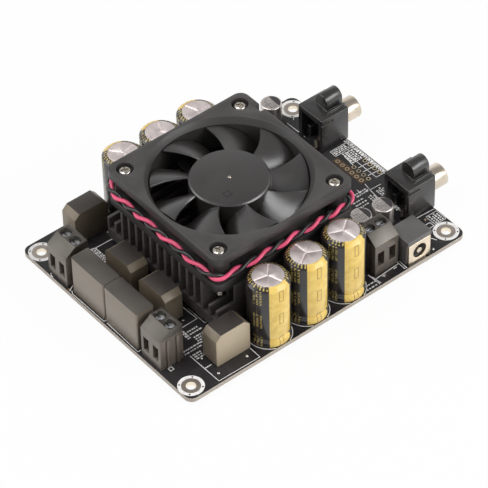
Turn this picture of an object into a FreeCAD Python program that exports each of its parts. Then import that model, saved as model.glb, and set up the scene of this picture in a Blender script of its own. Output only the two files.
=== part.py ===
import FreeCAD, Part
import math
import os

import Sketcher

# Audio amplifier board: a power amplifier on one circuit board, with a finned heatsink and a
# 60 mm fan over the chip, two rows of power capacitors, boxed inductors and film capacitors on
# the speaker side, screw terminals, phono sockets and a power jack.
# Millimetres. The origin is midway between the four mounting holes on the board's underside,
# +X runs along the board's length towards the phono sockets and +Z points up.

document = FreeCAD.newDocument("AmplifierBoard")

SIZES = {
    # Circuit board
    "board_length": 121.6,
    "board_width": 92.9,
    "board_thick": 1.6,
    "board_corner": 3.0,
    "mount_span_long": 112.4,
    "mount_span_wide": 82.1,
    "mount_hole_radius": 1.8,
    "lead_clearance": 0.1,
    "solder_ring": 0.5,
    "solder_tip_radius": 0.5,
    "solder_height": 1.5,
    # Heatsink, chip and what holds them
    "heatsink_length": 60.0,
    "heatsink_width": 60.0,
    "heatsink_base": 4.6,
    "heatsink_height": 17.2,
    "fin_thick": 1.2,
    "fin_count": 16,
    "fin_notch_length": 7.6,
    "fin_notch_width": 7.0,
    "fin_notch_depth": 8.0,
    "chip_length": 15.9,
    "chip_width": 11.0,
    "chip_height": 2.6,
    "chip_lead_pitch": 1.27,
    "chip_lead_width": 0.4,
    "chip_lead_reach": 1.5,
    "chip_lead_thick": 0.3,
    "chip_lead_rows": 11,
    "pad_thick": 0.4,
    "spacer_radius": 2.75,
    "spacer_pitch": 44.0,
    "heatsink_screw_radius": 1.5,
    "heatsink_screw_head": 2.7,
    "heatsink_screw_head_height": 1.5,
    "heatsink_screw_depth": 3.4,
    "screw_clearance": 0.15,
    # Fan frame
    "fan_centre_x": -5.6,
    "fan_centre_y": 0.0,
    "fan_width": 60.0,
    "fan_height": 15.0,
    "fan_corner": 3.5,
    "flange_thick": 3.4,
    "tube_radius": 28.3,
    "duct_radius": 27.3,
    "duct_mouth_radius": 28.9,
    "duct_mouth_depth": 2.2,
    "post_radius": 3.6,
    "fan_hole_pitch": 50.0,
    "fan_hole_radius": 1.6,
    "fan_bore_radius": 3.05,
    "fan_bore_depth": 2.2,
    "strut_width": 3.0,
    "strut_thick": 1.6,
    "motor_base_radius": 14.5,
    "bearing_tube_wall": 0.65,
    "flange_notch_width": 3.2,
    "flange_notch_depth": 2.0,
    "flange_notch_place": 19.0,
    # Fan rotor and motor
    "hub_radius": 14.0,
    "hub_top": 13.8,
    "hub_bottom": 3.4,
    "hub_wall": 1.0,
    "hub_chamfer": 0.5,
    "blade_count": 9,
    "blade_gap": 0.5,
    "blade_top": 13.0,
    "blade_bottom": 4.0,
    "blade_thick": 0.65,
    "blade_camber_radius": 19.0,
    "blade_root_span": 34.0,
    "blade_tip_span": 35.0,
    "blade_root_depth": 3.5,
    "blade_middle_sweep": 3.5,
    "blade_tip_sweep": 11.0,
    "blade_phase": 18.5,
    "blade_trim": 6.0,
    "shaft_radius": 1.0,
    "shaft_bite": 2.2,
    "boss_wall": 1.5,
    "bearing_radius": 3.0,
    "bearing_clearance": 0.03,
    "bearing_length": 8.4,
    "bearing_seat": 1.2,
    "yoke_wall": 0.8,
    "magnet_wall": 1.6,
    "magnet_height": 6.6,
    "air_gap": 0.4,
    "stator_height": 4.4,
    "stator_bottom": 4.6,
    "pole_count": 4,
    "pole_width": 2.4,
    "pole_shoe_thick": 1.2,
    "pole_shoe_half_width": 3.9,
    "winding_width": 5.4,
    "winding_overhang": 0.7,
    "circuit_disc_radius": 10.4,
    "circuit_disc_thick": 0.9,
    # Fan screws, lead, plug and header
    "fan_screw_radius": 1.25,
    "fan_screw_head": 2.2,
    "fan_screw_head_height": 1.7,
    "fan_screw_bevel": 0.55,
    "fan_screw_reach": 6.5,
    "lead_radius": 1.5,
    "lead_offset": 30.35,
    "lead_level": 6.8,
    "lead_bend": 5.35,
    "lead_leave_place": -14.0,
    "lead_leave_bend": 10.0,
    "lead_bow": 0.6,
    "lead_arch": 1.2,
    "lead_drop": 9.0,
    "lead_drop_bend": 6.0,
    "exit_place": 8.0,
    "exit_length": 4.0,
    "header_x": 32.0,
    "header_y": 4.0,
    "header_length": 7.4,
    "header_width": 5.8,
    "header_height": 7.0,
    "header_wall": 0.8,
    "header_floor": 1.6,
    "header_pin": 0.64,
    "header_pin_pitch": 2.5,
    "header_pin_top": 5.6,
    "plug_height": 9.8,
    "plug_clearance": 0.1,
    # Power capacitors
    "can_radius": 7.5,
    "can_height": 27.0,
    "can_disc_radius": 5.6,
    "can_shoulder": 1.4,
    "can_groove_height": 3.2,
    "can_groove_width": 2.4,
    "can_groove_depth": 0.7,
    "can_pitch": 16.3,
    "can_row_start": -21.0,
    "can_row_y": 38.8,
    "can_lead_pitch": 7.5,
    "can_lead_radius": 0.4,
    # Boxed inductors
    "inductor_length": 14.2,
    "inductor_width": 7.4,
    "inductor_height": 13.4,
    "inductor_chamfer": 2.1,
    "inductor_foot": 0.5,
    "inductor_lead_pitch": 9.0,
    "inductor_lead_radius": 0.6,
    "inductor_front_x": -37.3,
    "inductor_front_y": -36.45,
    "inductor_rear_x": -37.9,
    "inductor_rear_y": 39.45,
    "inductor_middle_x": -42.2,
    "inductor_middle_y": 1.6,
    "inductor_middle_pitch": 18.5,
    # Film capacitors
    "film_length": 17.6,
    "film_width": 7.4,
    "film_height": 16.4,
    "film_corner": 0.7,
    "film_foot": 0.6,
    "film_wall": 0.9,
    "film_lead_pitch": 15.0,
    "film_lead_radius": 0.4,
    "film_x": -55.8,
    "film_y": 0.9,
    "film_pitch": 18.1,
    # Screw terminals
    "pole_pitch": 5.08,
    "terminal_side": 0.1,
    "terminal_depth": 9.6,
    "terminal_height": 16.4,
    "terminal_front_height": 13.2,
    "terminal_slope_depth": 4.3,
    "terminal_rib_depth": 0.5,
    "terminal_rib_width": 1.4,
    "terminal_rib_height": 12.6,
    "terminal_rib_front": 3.2,
    "terminal_rib_back": 7.2,
    "terminal_rib_clearance": 0.35,
    "window_width": 2.8,
    "window_bottom": 3.4,
    "window_top": 9.6,
    "screw_place": 6.4,
    "chamber_width": 3.8,
    "chamber_depth": 4.4,
    "clamp_clearance": 0.1,
    "clamp_travel": 3.0,
    "clamp_floor": 0.7,
    "clamp_roof": 0.85,
    "clamp_side": 0.45,
    "clamp_window": 4.4,
    "contact_thick": 0.6,
    "contact_width": 2.2,
    "contact_pin_width": 1.0,
    "terminal_screw_radius": 1.25,
    "terminal_screw_head": 1.9,
    "terminal_screw_head_height": 1.45,
    "terminal_screw_slot": 0.7,
    "terminal_screw_bevel": 0.25,
    "terminal_screw_gap": 0.05,
    "ledge_thick": 1.1,
    "well_clearance": 0.15,
    "left_front_x": -59.7,
    "left_rear_y": 26.75,
    "left_near_y": -24.45,
    "power_front_y": -41.75,
    "power_x": 28.5,
    # Phono sockets
    "socket_rear_x": 49.1,
    "socket_y": 23.0,
    "socket_depth": 12.3,
    "socket_width": 12.7,
    "socket_height": 14.6,
    "hump_start": 5.1,
    "hump_half_width": 3.1,
    "hump_height": 20.1,
    "ridge_start": 4.5,
    "ridge_place": 4.4,
    "ridge_width": 0.6,
    "ridge_height": 0.9,
    "rear_recess_depth": 5.0,
    "rear_recess_wall": 1.8,
    "rear_recess_roof": 2.4,
    "inner_block_start": 2.4,
    "inner_block_side": 2.6,
    "inner_block_height": 4.7,
    "barrel_axis": 6.2,
    "shell_radius": 4.15,
    "shell_wall": 0.7,
    "shell_reach": 8.1,
    "shell_seat": 6.0,
    "shell_shoulder": 0.25,
    "nose_setback": 0.6,
    "contact_radius": 2.0,
    "contact_bore": 1.6,
    "contact_depth": 9.0,
    "socket_slot_length": 5.3,
    "socket_slot_height": 0.6,
    "socket_slot_place": 1.8,
    "tab_width": 1.6,
    "tab_thick": 0.4,
    "tab_height": 4.4,
    "tab_place": 3.6,
    "tab_foot": 2.0,
    # Power jack
    "jack_x": 40.0,
    "jack_front_y": -45.65,
    "jack_width": 10.6,
    "jack_depth": 10.0,
    "jack_height": 10.9,
    "jack_brow": 1.9,
    "jack_bore_radius": 2.9,
    "jack_bore_depth": 8.6,
    "jack_axis": 4.6,
    "jack_pin_radius": 1.05,
    "jack_pin_root": 0.8,
    "jack_pin_setback": 0.2,
    "jack_tail_width": 1.4,
    "jack_tail_thick": 0.5,
    "face_thick": 1.0,
    "face_width": 9.7,
    # Small can capacitors
    "small_can_radius": 3.85,
    "small_can_height": 10.4,
    "small_can_base": 8.3,
    "small_can_base_height": 1.3,
    "small_can_corner": 1.0,
    "small_can_neck": 0.45,
    "small_can_neck_height": 1.1,
    "small_can_1_x": 45.2,
    "small_can_1_y": 39.8,
    "small_can_2_x": 41.2,
    "small_can_2_y": -25.0,
    "small_can_3_x": 32.2,
    "small_can_3_y": -24.1,
    # Holes left open, and small surface parts
    "row_hole_x": 50.6,
    "row_hole_start_y": -3.0,
    "row_hole_pitch": 2.55,
    "row_hole_count": 6,
    "pair_hole_x": 53.0,
    "pair_hole_reach": 5.1,
    "pair_hole_start_y": -4.0,
    "pair_hole_pitch": 2.6,
    "pair_hole_count": 4,
    "open_hole_radius": 0.5,
    "chip_part_length": 1.6,
    "chip_part_width": 0.8,
    "chip_part_height": 0.5,
    "chip_part_1_x": 51.8,
    "chip_part_1_y": -31.4,
    "chip_part_2_x": 51.7,
    "chip_part_2_y": -33.5,
    "chip_part_3_x": 54.7,
    "chip_part_3_y": -32.4,
}


class Size:
    """A value together with the formula in sheet cells that gives it."""

    def __init__(self, number, formula):
        self.number = number
        self.formula = formula

    def __add__(self, other):
        other = as_size(other)
        return Size(self.number + other.number, f"({self.formula} + {other.formula})")

    def __sub__(self, other):
        other = as_size(other)
        return Size(self.number - other.number, f"({self.formula} - {other.formula})")

    def __mul__(self, other):
        other = as_size(other)
        return Size(self.number * other.number, f"({self.formula} * {other.formula})")

    def __truediv__(self, other):
        other = as_size(other)
        return Size(self.number / other.number, f"({self.formula} / {other.formula})")

    def __radd__(self, other):
        return as_size(other) + self

    def __rsub__(self, other):
        return as_size(other) - self

    def __rmul__(self, other):
        return as_size(other) * self

    def __neg__(self):
        return as_size(0) - self


def as_size(value):
    """A plain number as a Size."""
    return value if isinstance(value, Size) else Size(value, f"({value})")


def tangent(angle):
    """Tangent of an angle in degrees."""
    return Size(math.tan(math.radians(angle.number)), f"tan({angle.formula})")


def half_diagonal(length, width):
    """Radius of the circle through a rectangle's corners."""
    number = math.hypot(length.number, width.number) / 2
    squares = f"{length.formula} * {length.formula} + {width.formula} * {width.formula}"
    return Size(number, f"(sqrt({squares}) / 2)")


def make_sheet():
    """Put every driving dimension in one aliased cell and return them by name."""
    sheet = document.addObject("Spreadsheet::Sheet", "Sizes")
    cells = {}
    for row, (name, number) in enumerate(SIZES.items(), start=1):
        sheet.set(f"A{row}", name)
        sheet.set(f"B{row}", str(number))
        sheet.setAlias(f"B{row}", name)
        cells[name] = Size(number, f"Sizes.{name}")
    document.recompute()
    return cells


class Named:
    """The sizes as attributes, so that a formula reads as plain words."""

    def __init__(self, cells):
        self.__dict__.update(cells)


s = Named(make_sheet())
nodes = {}
lead_holes = []
VOLUME_TOLERANCE = 0.01


def bind(item, field, value):
    """Tie one property to its formula."""
    item.setExpression(field, as_size(value).formula)


def place(item, x, y, z, angle=0):
    """Give an object its place, turned about the vertical."""
    item.Placement = FreeCAD.Placement(
        FreeCAD.Vector(0, 0, 0), FreeCAD.Rotation(FreeCAD.Vector(0, 0, 1), angle)
    )
    for axis, value in zip("xyz", (x, y, z)):
        bind(item, f"Placement.Base.{axis}", value)
    return item


def node(label, item):
    """Name a finished sub-part and list it for writing."""
    item.Label = label
    nodes[label] = item
    return item


def new_body(name):
    return document.addObject("PartDesign::Body", name)


def origin_item(body, role):
    """One of the body's own origin planes or axes."""
    return next(item for item in body.Origin.OriginFeatures if item.Role == role)


def circle(x, y, radius):
    return ("circle", x, y, radius)


def rectangle(x_low, x_high, y_low, y_high):
    return [(x_low, y_low), (x_high, y_low), (x_high, y_high), (x_low, y_high)]


def centred(x, y, length, width):
    """A rectangle about a point."""
    return rectangle(x - length / 2, x + length / 2, y - width / 2, y + width / 2)


def rounded(length, width, corner):
    """A centred rectangle with round corners, each arc given by its start and radius."""
    far_x, far_y = length / 2, width / 2
    near_x, near_y = far_x - corner, far_y - corner
    return [
        (-near_x, -far_y), (near_x, -far_y, corner), (far_x, -near_y), (far_x, near_y, corner),
        (near_x, far_y), (-near_x, far_y, corner), (-far_x, near_y), (-far_x, -near_y, corner),
    ]


def arc_between(start, end, radius):
    """Arc that turns left from start to end, or right if the radius is negative. It runs
    counterclockwise itself, as a sketch keeps its arcs."""
    chord = end - start
    left = FreeCAD.Vector(-chord.y, chord.x, 0).normalize()
    away = math.sqrt(max(radius * radius - chord.Length ** 2 / 4, 0.0))
    centre = (start + end) / 2 + left * math.copysign(away, radius)
    first, last = (start, end) if radius > 0 else (end, start)
    first_angle = math.atan2(first.y - centre.y, first.x - centre.x)
    last_angle = math.atan2(last.y - centre.y, last.x - centre.x)
    if last_angle < first_angle:
        last_angle += 2 * math.pi
    ring = Part.Circle(centre, FreeCAD.Vector(0, 0, 1), abs(radius))
    return Part.ArcOfCircle(ring, first_angle, last_angle)


def pin_point(profile, index, corner, x, y):
    """Hold one point of a sketch at its formulas."""
    for kind, value in (("DistanceX", x), ("DistanceY", y)):
        constraint = Sketcher.Constraint(kind, -1, 1, index, corner, as_size(value).number)
        number = profile.addConstraint(constraint)
        if isinstance(value, Size):
            profile.setExpression(f"Constraints[{number}]", value.formula)


def draw_circle(profile, x, y, radius):
    centre = FreeCAD.Vector(as_size(x).number, as_size(y).number, 0)
    upright = FreeCAD.Vector(0, 0, 1)
    index = profile.addGeometry(Part.Circle(centre, upright, as_size(radius).number))
    pin_point(profile, index, 3, x, y)
    number = profile.addConstraint(Sketcher.Constraint("Radius", index, as_size(radius).number))
    profile.setExpression(f"Constraints[{number}]", as_size(radius).formula)


def draw_loop(profile, loop):
    """Draw a closed outline: a third value at a point makes the edge after it an arc."""
    points = [FreeCAD.Vector(as_size(p[0]).number, as_size(p[1]).number, 0) for p in loop]
    ends = []
    for place_in_loop, vertex in enumerate(loop):
        start = points[place_in_loop]
        end = points[(place_in_loop + 1) % len(points)]
        if len(vertex) == 3:
            radius = as_size(vertex[2]).number
            index = profile.addGeometry(arc_between(start, end, radius))
            ends.append((index, 1, 2) if radius > 0 else (index, 2, 1))
            constraint = Sketcher.Constraint("Radius", index, abs(radius))
            number = profile.addConstraint(constraint)
            formula = as_size(vertex[2]).formula
            profile.setExpression(f"Constraints[{number}]", f"abs({formula})")
        else:
            index = profile.addGeometry(Part.LineSegment(start, end))
            ends.append((index, 1, 2))
    for place_in_loop, (index, first, last) in enumerate(ends):
        following = ends[(place_in_loop + 1) % len(ends)]
        profile.addConstraint(
            Sketcher.Constraint("Coincident", index, last, following[0], following[1])
        )
        pin_point(profile, index, first, loop[place_in_loop][0], loop[place_in_loop][1])


def sketch(body, plane, level, *loops):
    """Draw outlines on one of the body's origin planes, moved to a level along its axis."""
    profile = body.newObject("Sketcher::SketchObject", "Profile")
    profile.AttachmentSupport = [(origin_item(body, f"{plane}_Plane"), "")]
    profile.MapMode = "FlatFace"
    bind(profile, "AttachmentOffset.Base.z", -level if plane == "XZ" else level)
    for loop in loops:
        if loop[0] == "circle":
            draw_circle(profile, *loop[1:])
        else:
            draw_loop(profile, loop)
    return profile


def pad(body, plane, start, end, *loops):
    """Add material between two levels along the plane's axis."""
    profile = sketch(body, plane, start, *loops)
    feature = body.newObject("PartDesign::Pad", "Pad")
    feature.Profile = profile
    feature.Reversed = plane == "XZ"
    bind(feature, "Length", end - start)
    return feature


def pocket(body, plane, start, end, *loops):
    """Remove material between two levels along the plane's axis."""
    profile = sketch(body, plane, start, *loops)
    feature = body.newObject("PartDesign::Pocket", "Pocket")
    feature.Profile = profile
    feature.Reversed = plane != "XZ"
    bind(feature, "Length", end - start)
    return feature


def turn(body, loop, kind="PartDesign::Revolution"):
    """Revolve an outline of radii and heights about the vertical axis."""
    profile = sketch(body, "XZ", as_size(0), loop)
    feature = body.newObject(kind, "Turned")
    feature.Profile = profile
    feature.ReferenceAxis = (profile, ["V_Axis"])
    feature.Angle = 360
    return feature


def groove(body, loop):
    """Cut an outline of radii and heights all round the vertical axis."""
    return turn(body, loop, "PartDesign::Groove")


def ring_of(body, features, count):
    """Repeat features evenly about the vertical axis."""
    pattern = body.newObject("PartDesign::PolarPattern", "Ring")
    pattern.Originals = features
    pattern.Axis = (origin_item(body, "Z_Axis"), [""])
    pattern.Angle = 360
    bind(pattern, "Occurrences", count)
    body.Tip = pattern
    return pattern


def row_of(body, features, axis, length, count):
    """Repeat features evenly along an axis over a length."""
    pattern = body.newObject("PartDesign::LinearPattern", "Row")
    pattern.Originals = features
    pattern.Direction = (origin_item(body, f"{axis}_Axis"), [""])
    bind(pattern, "Length", length)
    bind(pattern, "Occurrences", count)
    body.Tip = pattern
    return pattern


def group(label, items):
    """One node of several separate solids."""
    bundle = document.addObject("Part::Compound", label)
    bundle.Links = items
    return node(label, bundle)


def quarter(x, y, angle):
    """A point turned by a quarter turn, or left as it is."""
    return {0: (x, y), 90: (-y, x), -90: (y, -x)}[angle]


def add_leads(body, x, y, angle, leads):
    """Give a component round leads through the board, and the board their holes."""
    pad(body, "XY", -s.board_thick, as_size(0), *[circle(*lead) for lead in leads])
    for lead_x, lead_y, radius in leads:
        note_hole(x, y, angle, lead_x, lead_y, radius)


def note_hole(x, y, angle, lead_x, lead_y, radius):
    """List the board hole and solder joint for a lead at a component's own x and y."""
    turned_x, turned_y = quarter(lead_x, lead_y, angle)
    lead_holes.append((x + turned_x, y + turned_y, radius + s.lead_clearance))


def power_capacitor(label, x, y):
    """Sleeved can with a rolled shoulder, a bare top disc and a crimp groove near its foot."""
    body = new_body(label)
    radius, height = s.can_radius, s.can_height
    groove_low = s.can_groove_height - s.can_groove_width / 2
    turn(body, [
        (0, 0), (radius, 0), (radius, groove_low),
        (radius - s.can_groove_depth, s.can_groove_height),
        (radius, groove_low + s.can_groove_width), (radius, height - s.can_shoulder),
        (s.can_disc_radius, height), (0, height),
    ])
    half = s.can_lead_pitch / 2
    leads = [(-half, as_size(0), s.can_lead_radius), (half, as_size(0), s.can_lead_radius)]
    add_leads(body, x, y, 0, leads)
    node(label, place(body, x, y, s.board_thick))


def inductor(label, x, y, angle):
    """Moulded block, its two short top edges chamfered, on a slightly smaller foot."""
    body = new_body(label)
    half, height, chamfer = s.inductor_length / 2, s.inductor_height, s.inductor_chamfer
    foot = s.inductor_foot
    pad(body, "XZ", -s.inductor_width / 2, s.inductor_width / 2, [
        (-half + foot, 0), (half - foot, 0), (half, foot), (half, height - chamfer),
        (half - chamfer, height), (-half + chamfer, height), (-half, height - chamfer),
        (-half, foot),
    ])
    reach = s.inductor_lead_pitch / 2
    leads = [(side * reach, as_size(0), s.inductor_lead_radius) for side in (-1, 1)]
    add_leads(body, x, y, angle, leads)
    node(label, place(body, x, y, s.board_thick, angle))


def film_capacitor(label, x, y):
    """Moulded box with round upright corners, standing on a rim round its potted underside."""
    body = new_body(label)
    pad(body, "XY", as_size(0), s.film_height,
        rounded(s.film_width, s.film_length, s.film_corner))
    zero = as_size(0)
    pocket(body, "XY", zero, s.film_foot,
           centred(zero, zero, s.film_width - 2 * s.film_wall, s.film_length - 2 * s.film_wall))
    reach = s.film_lead_pitch / 2
    leads = [(zero, side * reach, s.film_lead_radius) for side in (-1, 1)]
    pad(body, "XY", -s.board_thick, s.film_foot, *[circle(*lead) for lead in leads])
    for lead in leads:
        note_hole(x, y, 0, *lead)
    node(label, place(body, x, y, s.board_thick))


def small_capacitor(label, x, y):
    """Surface-mount can on a square base with two cut corners and a pinched neck."""
    body = new_body(label)
    half, cut = s.small_can_base / 2, s.small_can_corner
    pad(body, "XY", as_size(0), s.small_can_base_height, [
        (-half, -half), (half - cut, -half), (half, -half + cut), (half, half - cut),
        (half - cut, half), (-half, half),
    ])
    radius, base = s.small_can_radius, s.small_can_base_height
    neck_top = base + s.small_can_neck_height
    turn(body, [
        (0, base), (radius - s.small_can_neck, base), (radius - s.small_can_neck, neck_top),
        (radius, neck_top + s.small_can_neck), (radius, s.small_can_height),
        (0, s.small_can_height),
    ])
    node(label, place(body, x, y, s.board_thick))


# Heights of the terminal mechanism above the board
clamp_bottom = s.window_bottom + s.clamp_clearance
clamp_inner_bottom = clamp_bottom + s.clamp_floor
clamp_inner_top = clamp_inner_bottom + s.clamp_window
clamp_top = clamp_inner_top + s.clamp_roof
contact_top = clamp_inner_top - s.clamp_clearance
ledge_bottom = clamp_top + s.clamp_travel + s.terminal_screw_gap
ledge_top = ledge_bottom + s.ledge_thick
chamber_front = s.screw_place - s.chamber_depth / 2
chamber_back = s.screw_place + s.chamber_depth / 2


def pole_places():
    """Where the poles stand across a terminal."""
    return (-s.pole_pitch / 2, s.pole_pitch / 2)


def terminal_housing(label, x, y, angle):
    """Two-pole housing: wire windows in front, a sloping brow, screw wells in the flat top."""
    body = new_body(label)
    zero = as_size(0)
    half = s.pole_pitch + s.terminal_side
    depth, height = s.terminal_depth, s.terminal_height
    pad(body, "YZ", -half, half, [
        (0, 0), (depth, 0), (depth, height), (s.terminal_slope_depth, height),
        (0, s.terminal_front_height),
    ])
    rib, reach = s.terminal_rib_width / 2, s.terminal_rib_depth
    mouth, floor = rib / 2 + s.terminal_rib_clearance, rib + s.terminal_rib_clearance
    for rib_place in (s.terminal_rib_front, s.terminal_rib_back):
        pad(body, "XY", zero, s.terminal_rib_height, [
            (half, rib_place - rib / 2), (half + reach, rib_place - rib),
            (half + reach, rib_place + rib), (half, rib_place + rib / 2),
        ])
        pocket(body, "XY", zero, s.terminal_rib_height, [
            (-half, rib_place - mouth), (-half + reach, rib_place - floor),
            (-half + reach, rib_place + floor), (-half, rib_place + mouth),
        ])
    poles = pole_places()
    leg_back = chamber_back + s.contact_thick
    contact_half = s.contact_width / 2 + s.clamp_clearance / 2
    pocket(body, "XZ", zero, chamber_front, *[
        rectangle(pole - s.window_width / 2, pole + s.window_width / 2, s.window_bottom,
                  s.window_top) for pole in poles])
    pocket(body, "XY", s.window_bottom, ledge_bottom, *[
        rectangle(pole - s.chamber_width / 2, pole + s.chamber_width / 2, chamber_front,
                  chamber_back) for pole in poles])
    pocket(body, "XY", zero, contact_top + s.clamp_clearance, *[
        rectangle(pole - contact_half, pole + contact_half, chamber_back, leg_back)
        for pole in poles])
    shank_hole = s.terminal_screw_radius + s.clamp_clearance
    head_hole = s.terminal_screw_head + s.well_clearance
    pocket(body, "XY", ledge_bottom, ledge_top,
           *[circle(pole, s.screw_place, shank_hole) for pole in poles])
    pocket(body, "XY", ledge_top, height,
           *[circle(pole, s.screw_place, head_hole) for pole in poles])
    node(label, place(body, x, y, s.board_thick, angle))


def terminal_screw(label, x, y, angle):
    """Slotted screw that stays at its height while its clamp climbs the thread."""
    body = new_body(label)
    tip = contact_top + s.terminal_screw_gap
    seat = ledge_top + s.terminal_screw_gap
    top = seat + s.terminal_screw_head_height
    bevel = s.terminal_screw_bevel
    radius, head = s.terminal_screw_radius, s.terminal_screw_head
    turn(body, [
        (0, tip), (radius - bevel, tip), (radius, tip + bevel), (radius, seat), (head, seat),
        (head, top - bevel), (head - bevel, top), (0, top),
    ])
    pocket(body, "XY", top - s.terminal_screw_slot, top,
           centred(as_size(0), as_size(0), 2 * head, s.terminal_screw_slot))
    shift_x, shift_y = quarter(as_size(0), s.screw_place, angle)
    node(label, place(body, x + shift_x, y + shift_y, s.board_thick, angle))


def terminal_clamp(label, x, y, angle):
    """Square cage on the screw, open to the wire, that rises under the fixed contact."""
    body = new_body(label)
    half = s.chamber_width / 2 - s.clamp_clearance
    front, back = chamber_front + s.clamp_clearance, chamber_back - s.clamp_clearance
    inner = half - s.clamp_side
    pad(body, "XZ", front, back,
        rectangle(-half, half, clamp_bottom, clamp_top),
        rectangle(-inner, inner, clamp_inner_bottom, clamp_inner_top))
    thread = s.terminal_screw_radius + s.clamp_clearance / 2
    pocket(body, "XY", clamp_inner_top, clamp_top, circle(as_size(0), s.screw_place, thread))
    node(label, place(body, x, y, s.board_thick, angle))


def terminal_contact(name, x, y, angle):
    """Fixed bar under the screw with a leg down the back wall and a pin through the board."""
    body = new_body(name)
    zero = as_size(0)
    back = chamber_back + s.contact_thick
    half = s.contact_width / 2
    bar_bottom = contact_top - s.contact_thick
    pad(body, "YZ", -half, half, [
        (chamber_front + s.clamp_clearance, bar_bottom), (chamber_back, bar_bottom),
        (chamber_back, 0), (back, 0), (back, contact_top),
        (chamber_front + s.clamp_clearance, contact_top),
    ])
    pad(body, "XY", -s.board_thick, zero,
        rectangle(-s.contact_pin_width / 2, s.contact_pin_width / 2, chamber_back, back))
    corner = half_diagonal(s.contact_pin_width, s.contact_thick)
    note_hole(x, y, angle, zero, (chamber_back + back) / 2, corner)
    return place(body, x, y, s.board_thick, angle)


def terminal(name, x, y, angle):
    """A two-pole screw terminal; returns its fixed contacts."""
    terminal_housing(f"{name}_housing", x, y, angle)
    contacts = []
    for number, pole in enumerate(pole_places(), start=1):
        shift_x, shift_y = quarter(pole, as_size(0), angle)
        pole_x, pole_y = x + shift_x, y + shift_y
        terminal_screw(f"{name}_screw_{number}", pole_x, pole_y, angle)
        terminal_clamp(f"{name}_clamp_{number}", pole_x, pole_y, angle)
        contacts.append(terminal_contact(f"{name}_contact_{number}", pole_x, pole_y, angle))
    return contacts


def phono_housing(label, x, y):
    """Moulded block, hollow at its rear but for a low inner block, with a domed hump and a
    ridge over the barrel and a nose inside the outer shell."""
    body = new_body(label)
    zero = as_size(0)
    depth, half = s.socket_depth, s.socket_width / 2
    pad(body, "XY", zero, s.socket_height, rectangle(zero, depth, -half, half))
    hump = s.hump_half_width
    spring = s.hump_height - hump
    pad(body, "YZ", s.hump_start, depth, [
        (-hump, s.socket_height), (hump, s.socket_height), (hump, spring, hump),
        (0, s.hump_height, hump), (-hump, spring),
    ])
    ridge = s.ridge_place
    pad(body, "XY", s.socket_height, s.socket_height + s.ridge_height,
        rectangle(s.ridge_start, depth, -ridge - s.ridge_width / 2, -ridge + s.ridge_width / 2))
    wall = half - s.rear_recess_wall
    recess = s.rear_recess_depth
    pocket(body, "XY", zero, s.socket_height - s.rear_recess_roof,
           rectangle(zero, recess, -wall, wall))
    pad(body, "XY", zero, s.inner_block_height,
        rectangle(s.inner_block_start, recess, s.inner_block_side, wall))
    slot_top = s.socket_height - s.socket_slot_place
    pocket(body, "XZ", -half, -half + s.socket_slot_height,
           rectangle(zero, s.socket_slot_length, slot_top - s.socket_slot_height, slot_top))
    axis = s.barrel_axis
    seat = s.shell_radius - s.shell_shoulder
    pocket(body, "YZ", depth - s.shell_seat, depth, circle(zero, axis, seat))
    nose = s.shell_radius - s.shell_wall
    pad(body, "YZ", depth - s.shell_seat, depth + s.shell_reach - s.nose_setback,
        circle(zero, axis, nose))
    pocket(body, "YZ", depth + s.shell_reach - s.nose_setback - s.contact_depth,
           depth + s.shell_reach - s.nose_setback, circle(zero, axis, s.contact_radius))
    node(label, place(body, x, y, s.board_thick))


def phono_shell(label, x, y):
    """Outer barrel with a shoulder against the housing and a slimmer seat inside it."""
    body = new_body(label)
    zero = as_size(0)
    inside = circle(zero, s.barrel_axis, s.shell_radius - s.shell_wall)
    pad(body, "YZ", s.socket_depth, s.socket_depth + s.shell_reach,
        circle(zero, s.barrel_axis, s.shell_radius), inside)
    pad(body, "YZ", s.socket_depth - s.shell_seat, s.socket_depth,
        circle(zero, s.barrel_axis, s.shell_radius - s.shell_shoulder), inside)
    node(label, place(body, x, y, s.board_thick))


def phono_contacts(name, x, y):
    """Centre sleeve of a phono socket and the bent metal tab in the housing's rear recess."""
    zero = as_size(0)
    sleeve = new_body(f"{name}_sleeve")
    front = s.socket_depth + s.shell_reach - s.nose_setback
    pad(sleeve, "YZ", front - s.contact_depth, front,
        circle(zero, s.barrel_axis, s.contact_radius),
        circle(zero, s.barrel_axis, s.contact_bore))
    place(sleeve, x, y, s.board_thick)
    tab = new_body(f"{name}_tab")
    pad(tab, "XY", -s.board_thick, s.tab_height,
        rectangle(-s.tab_thick, zero, -s.tab_width / 2, s.tab_width / 2))
    pad(tab, "XY", s.tab_height - s.tab_thick, s.tab_height,
        rectangle(zero, s.tab_foot, -s.tab_width / 2, s.tab_width / 2))
    tab_y = y - s.tab_place
    place(tab, x, tab_y, s.board_thick)
    note_hole(x, tab_y, 0, -s.tab_thick / 2, zero, half_diagonal(s.tab_width, s.tab_thick))
    return [sleeve, tab]


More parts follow.
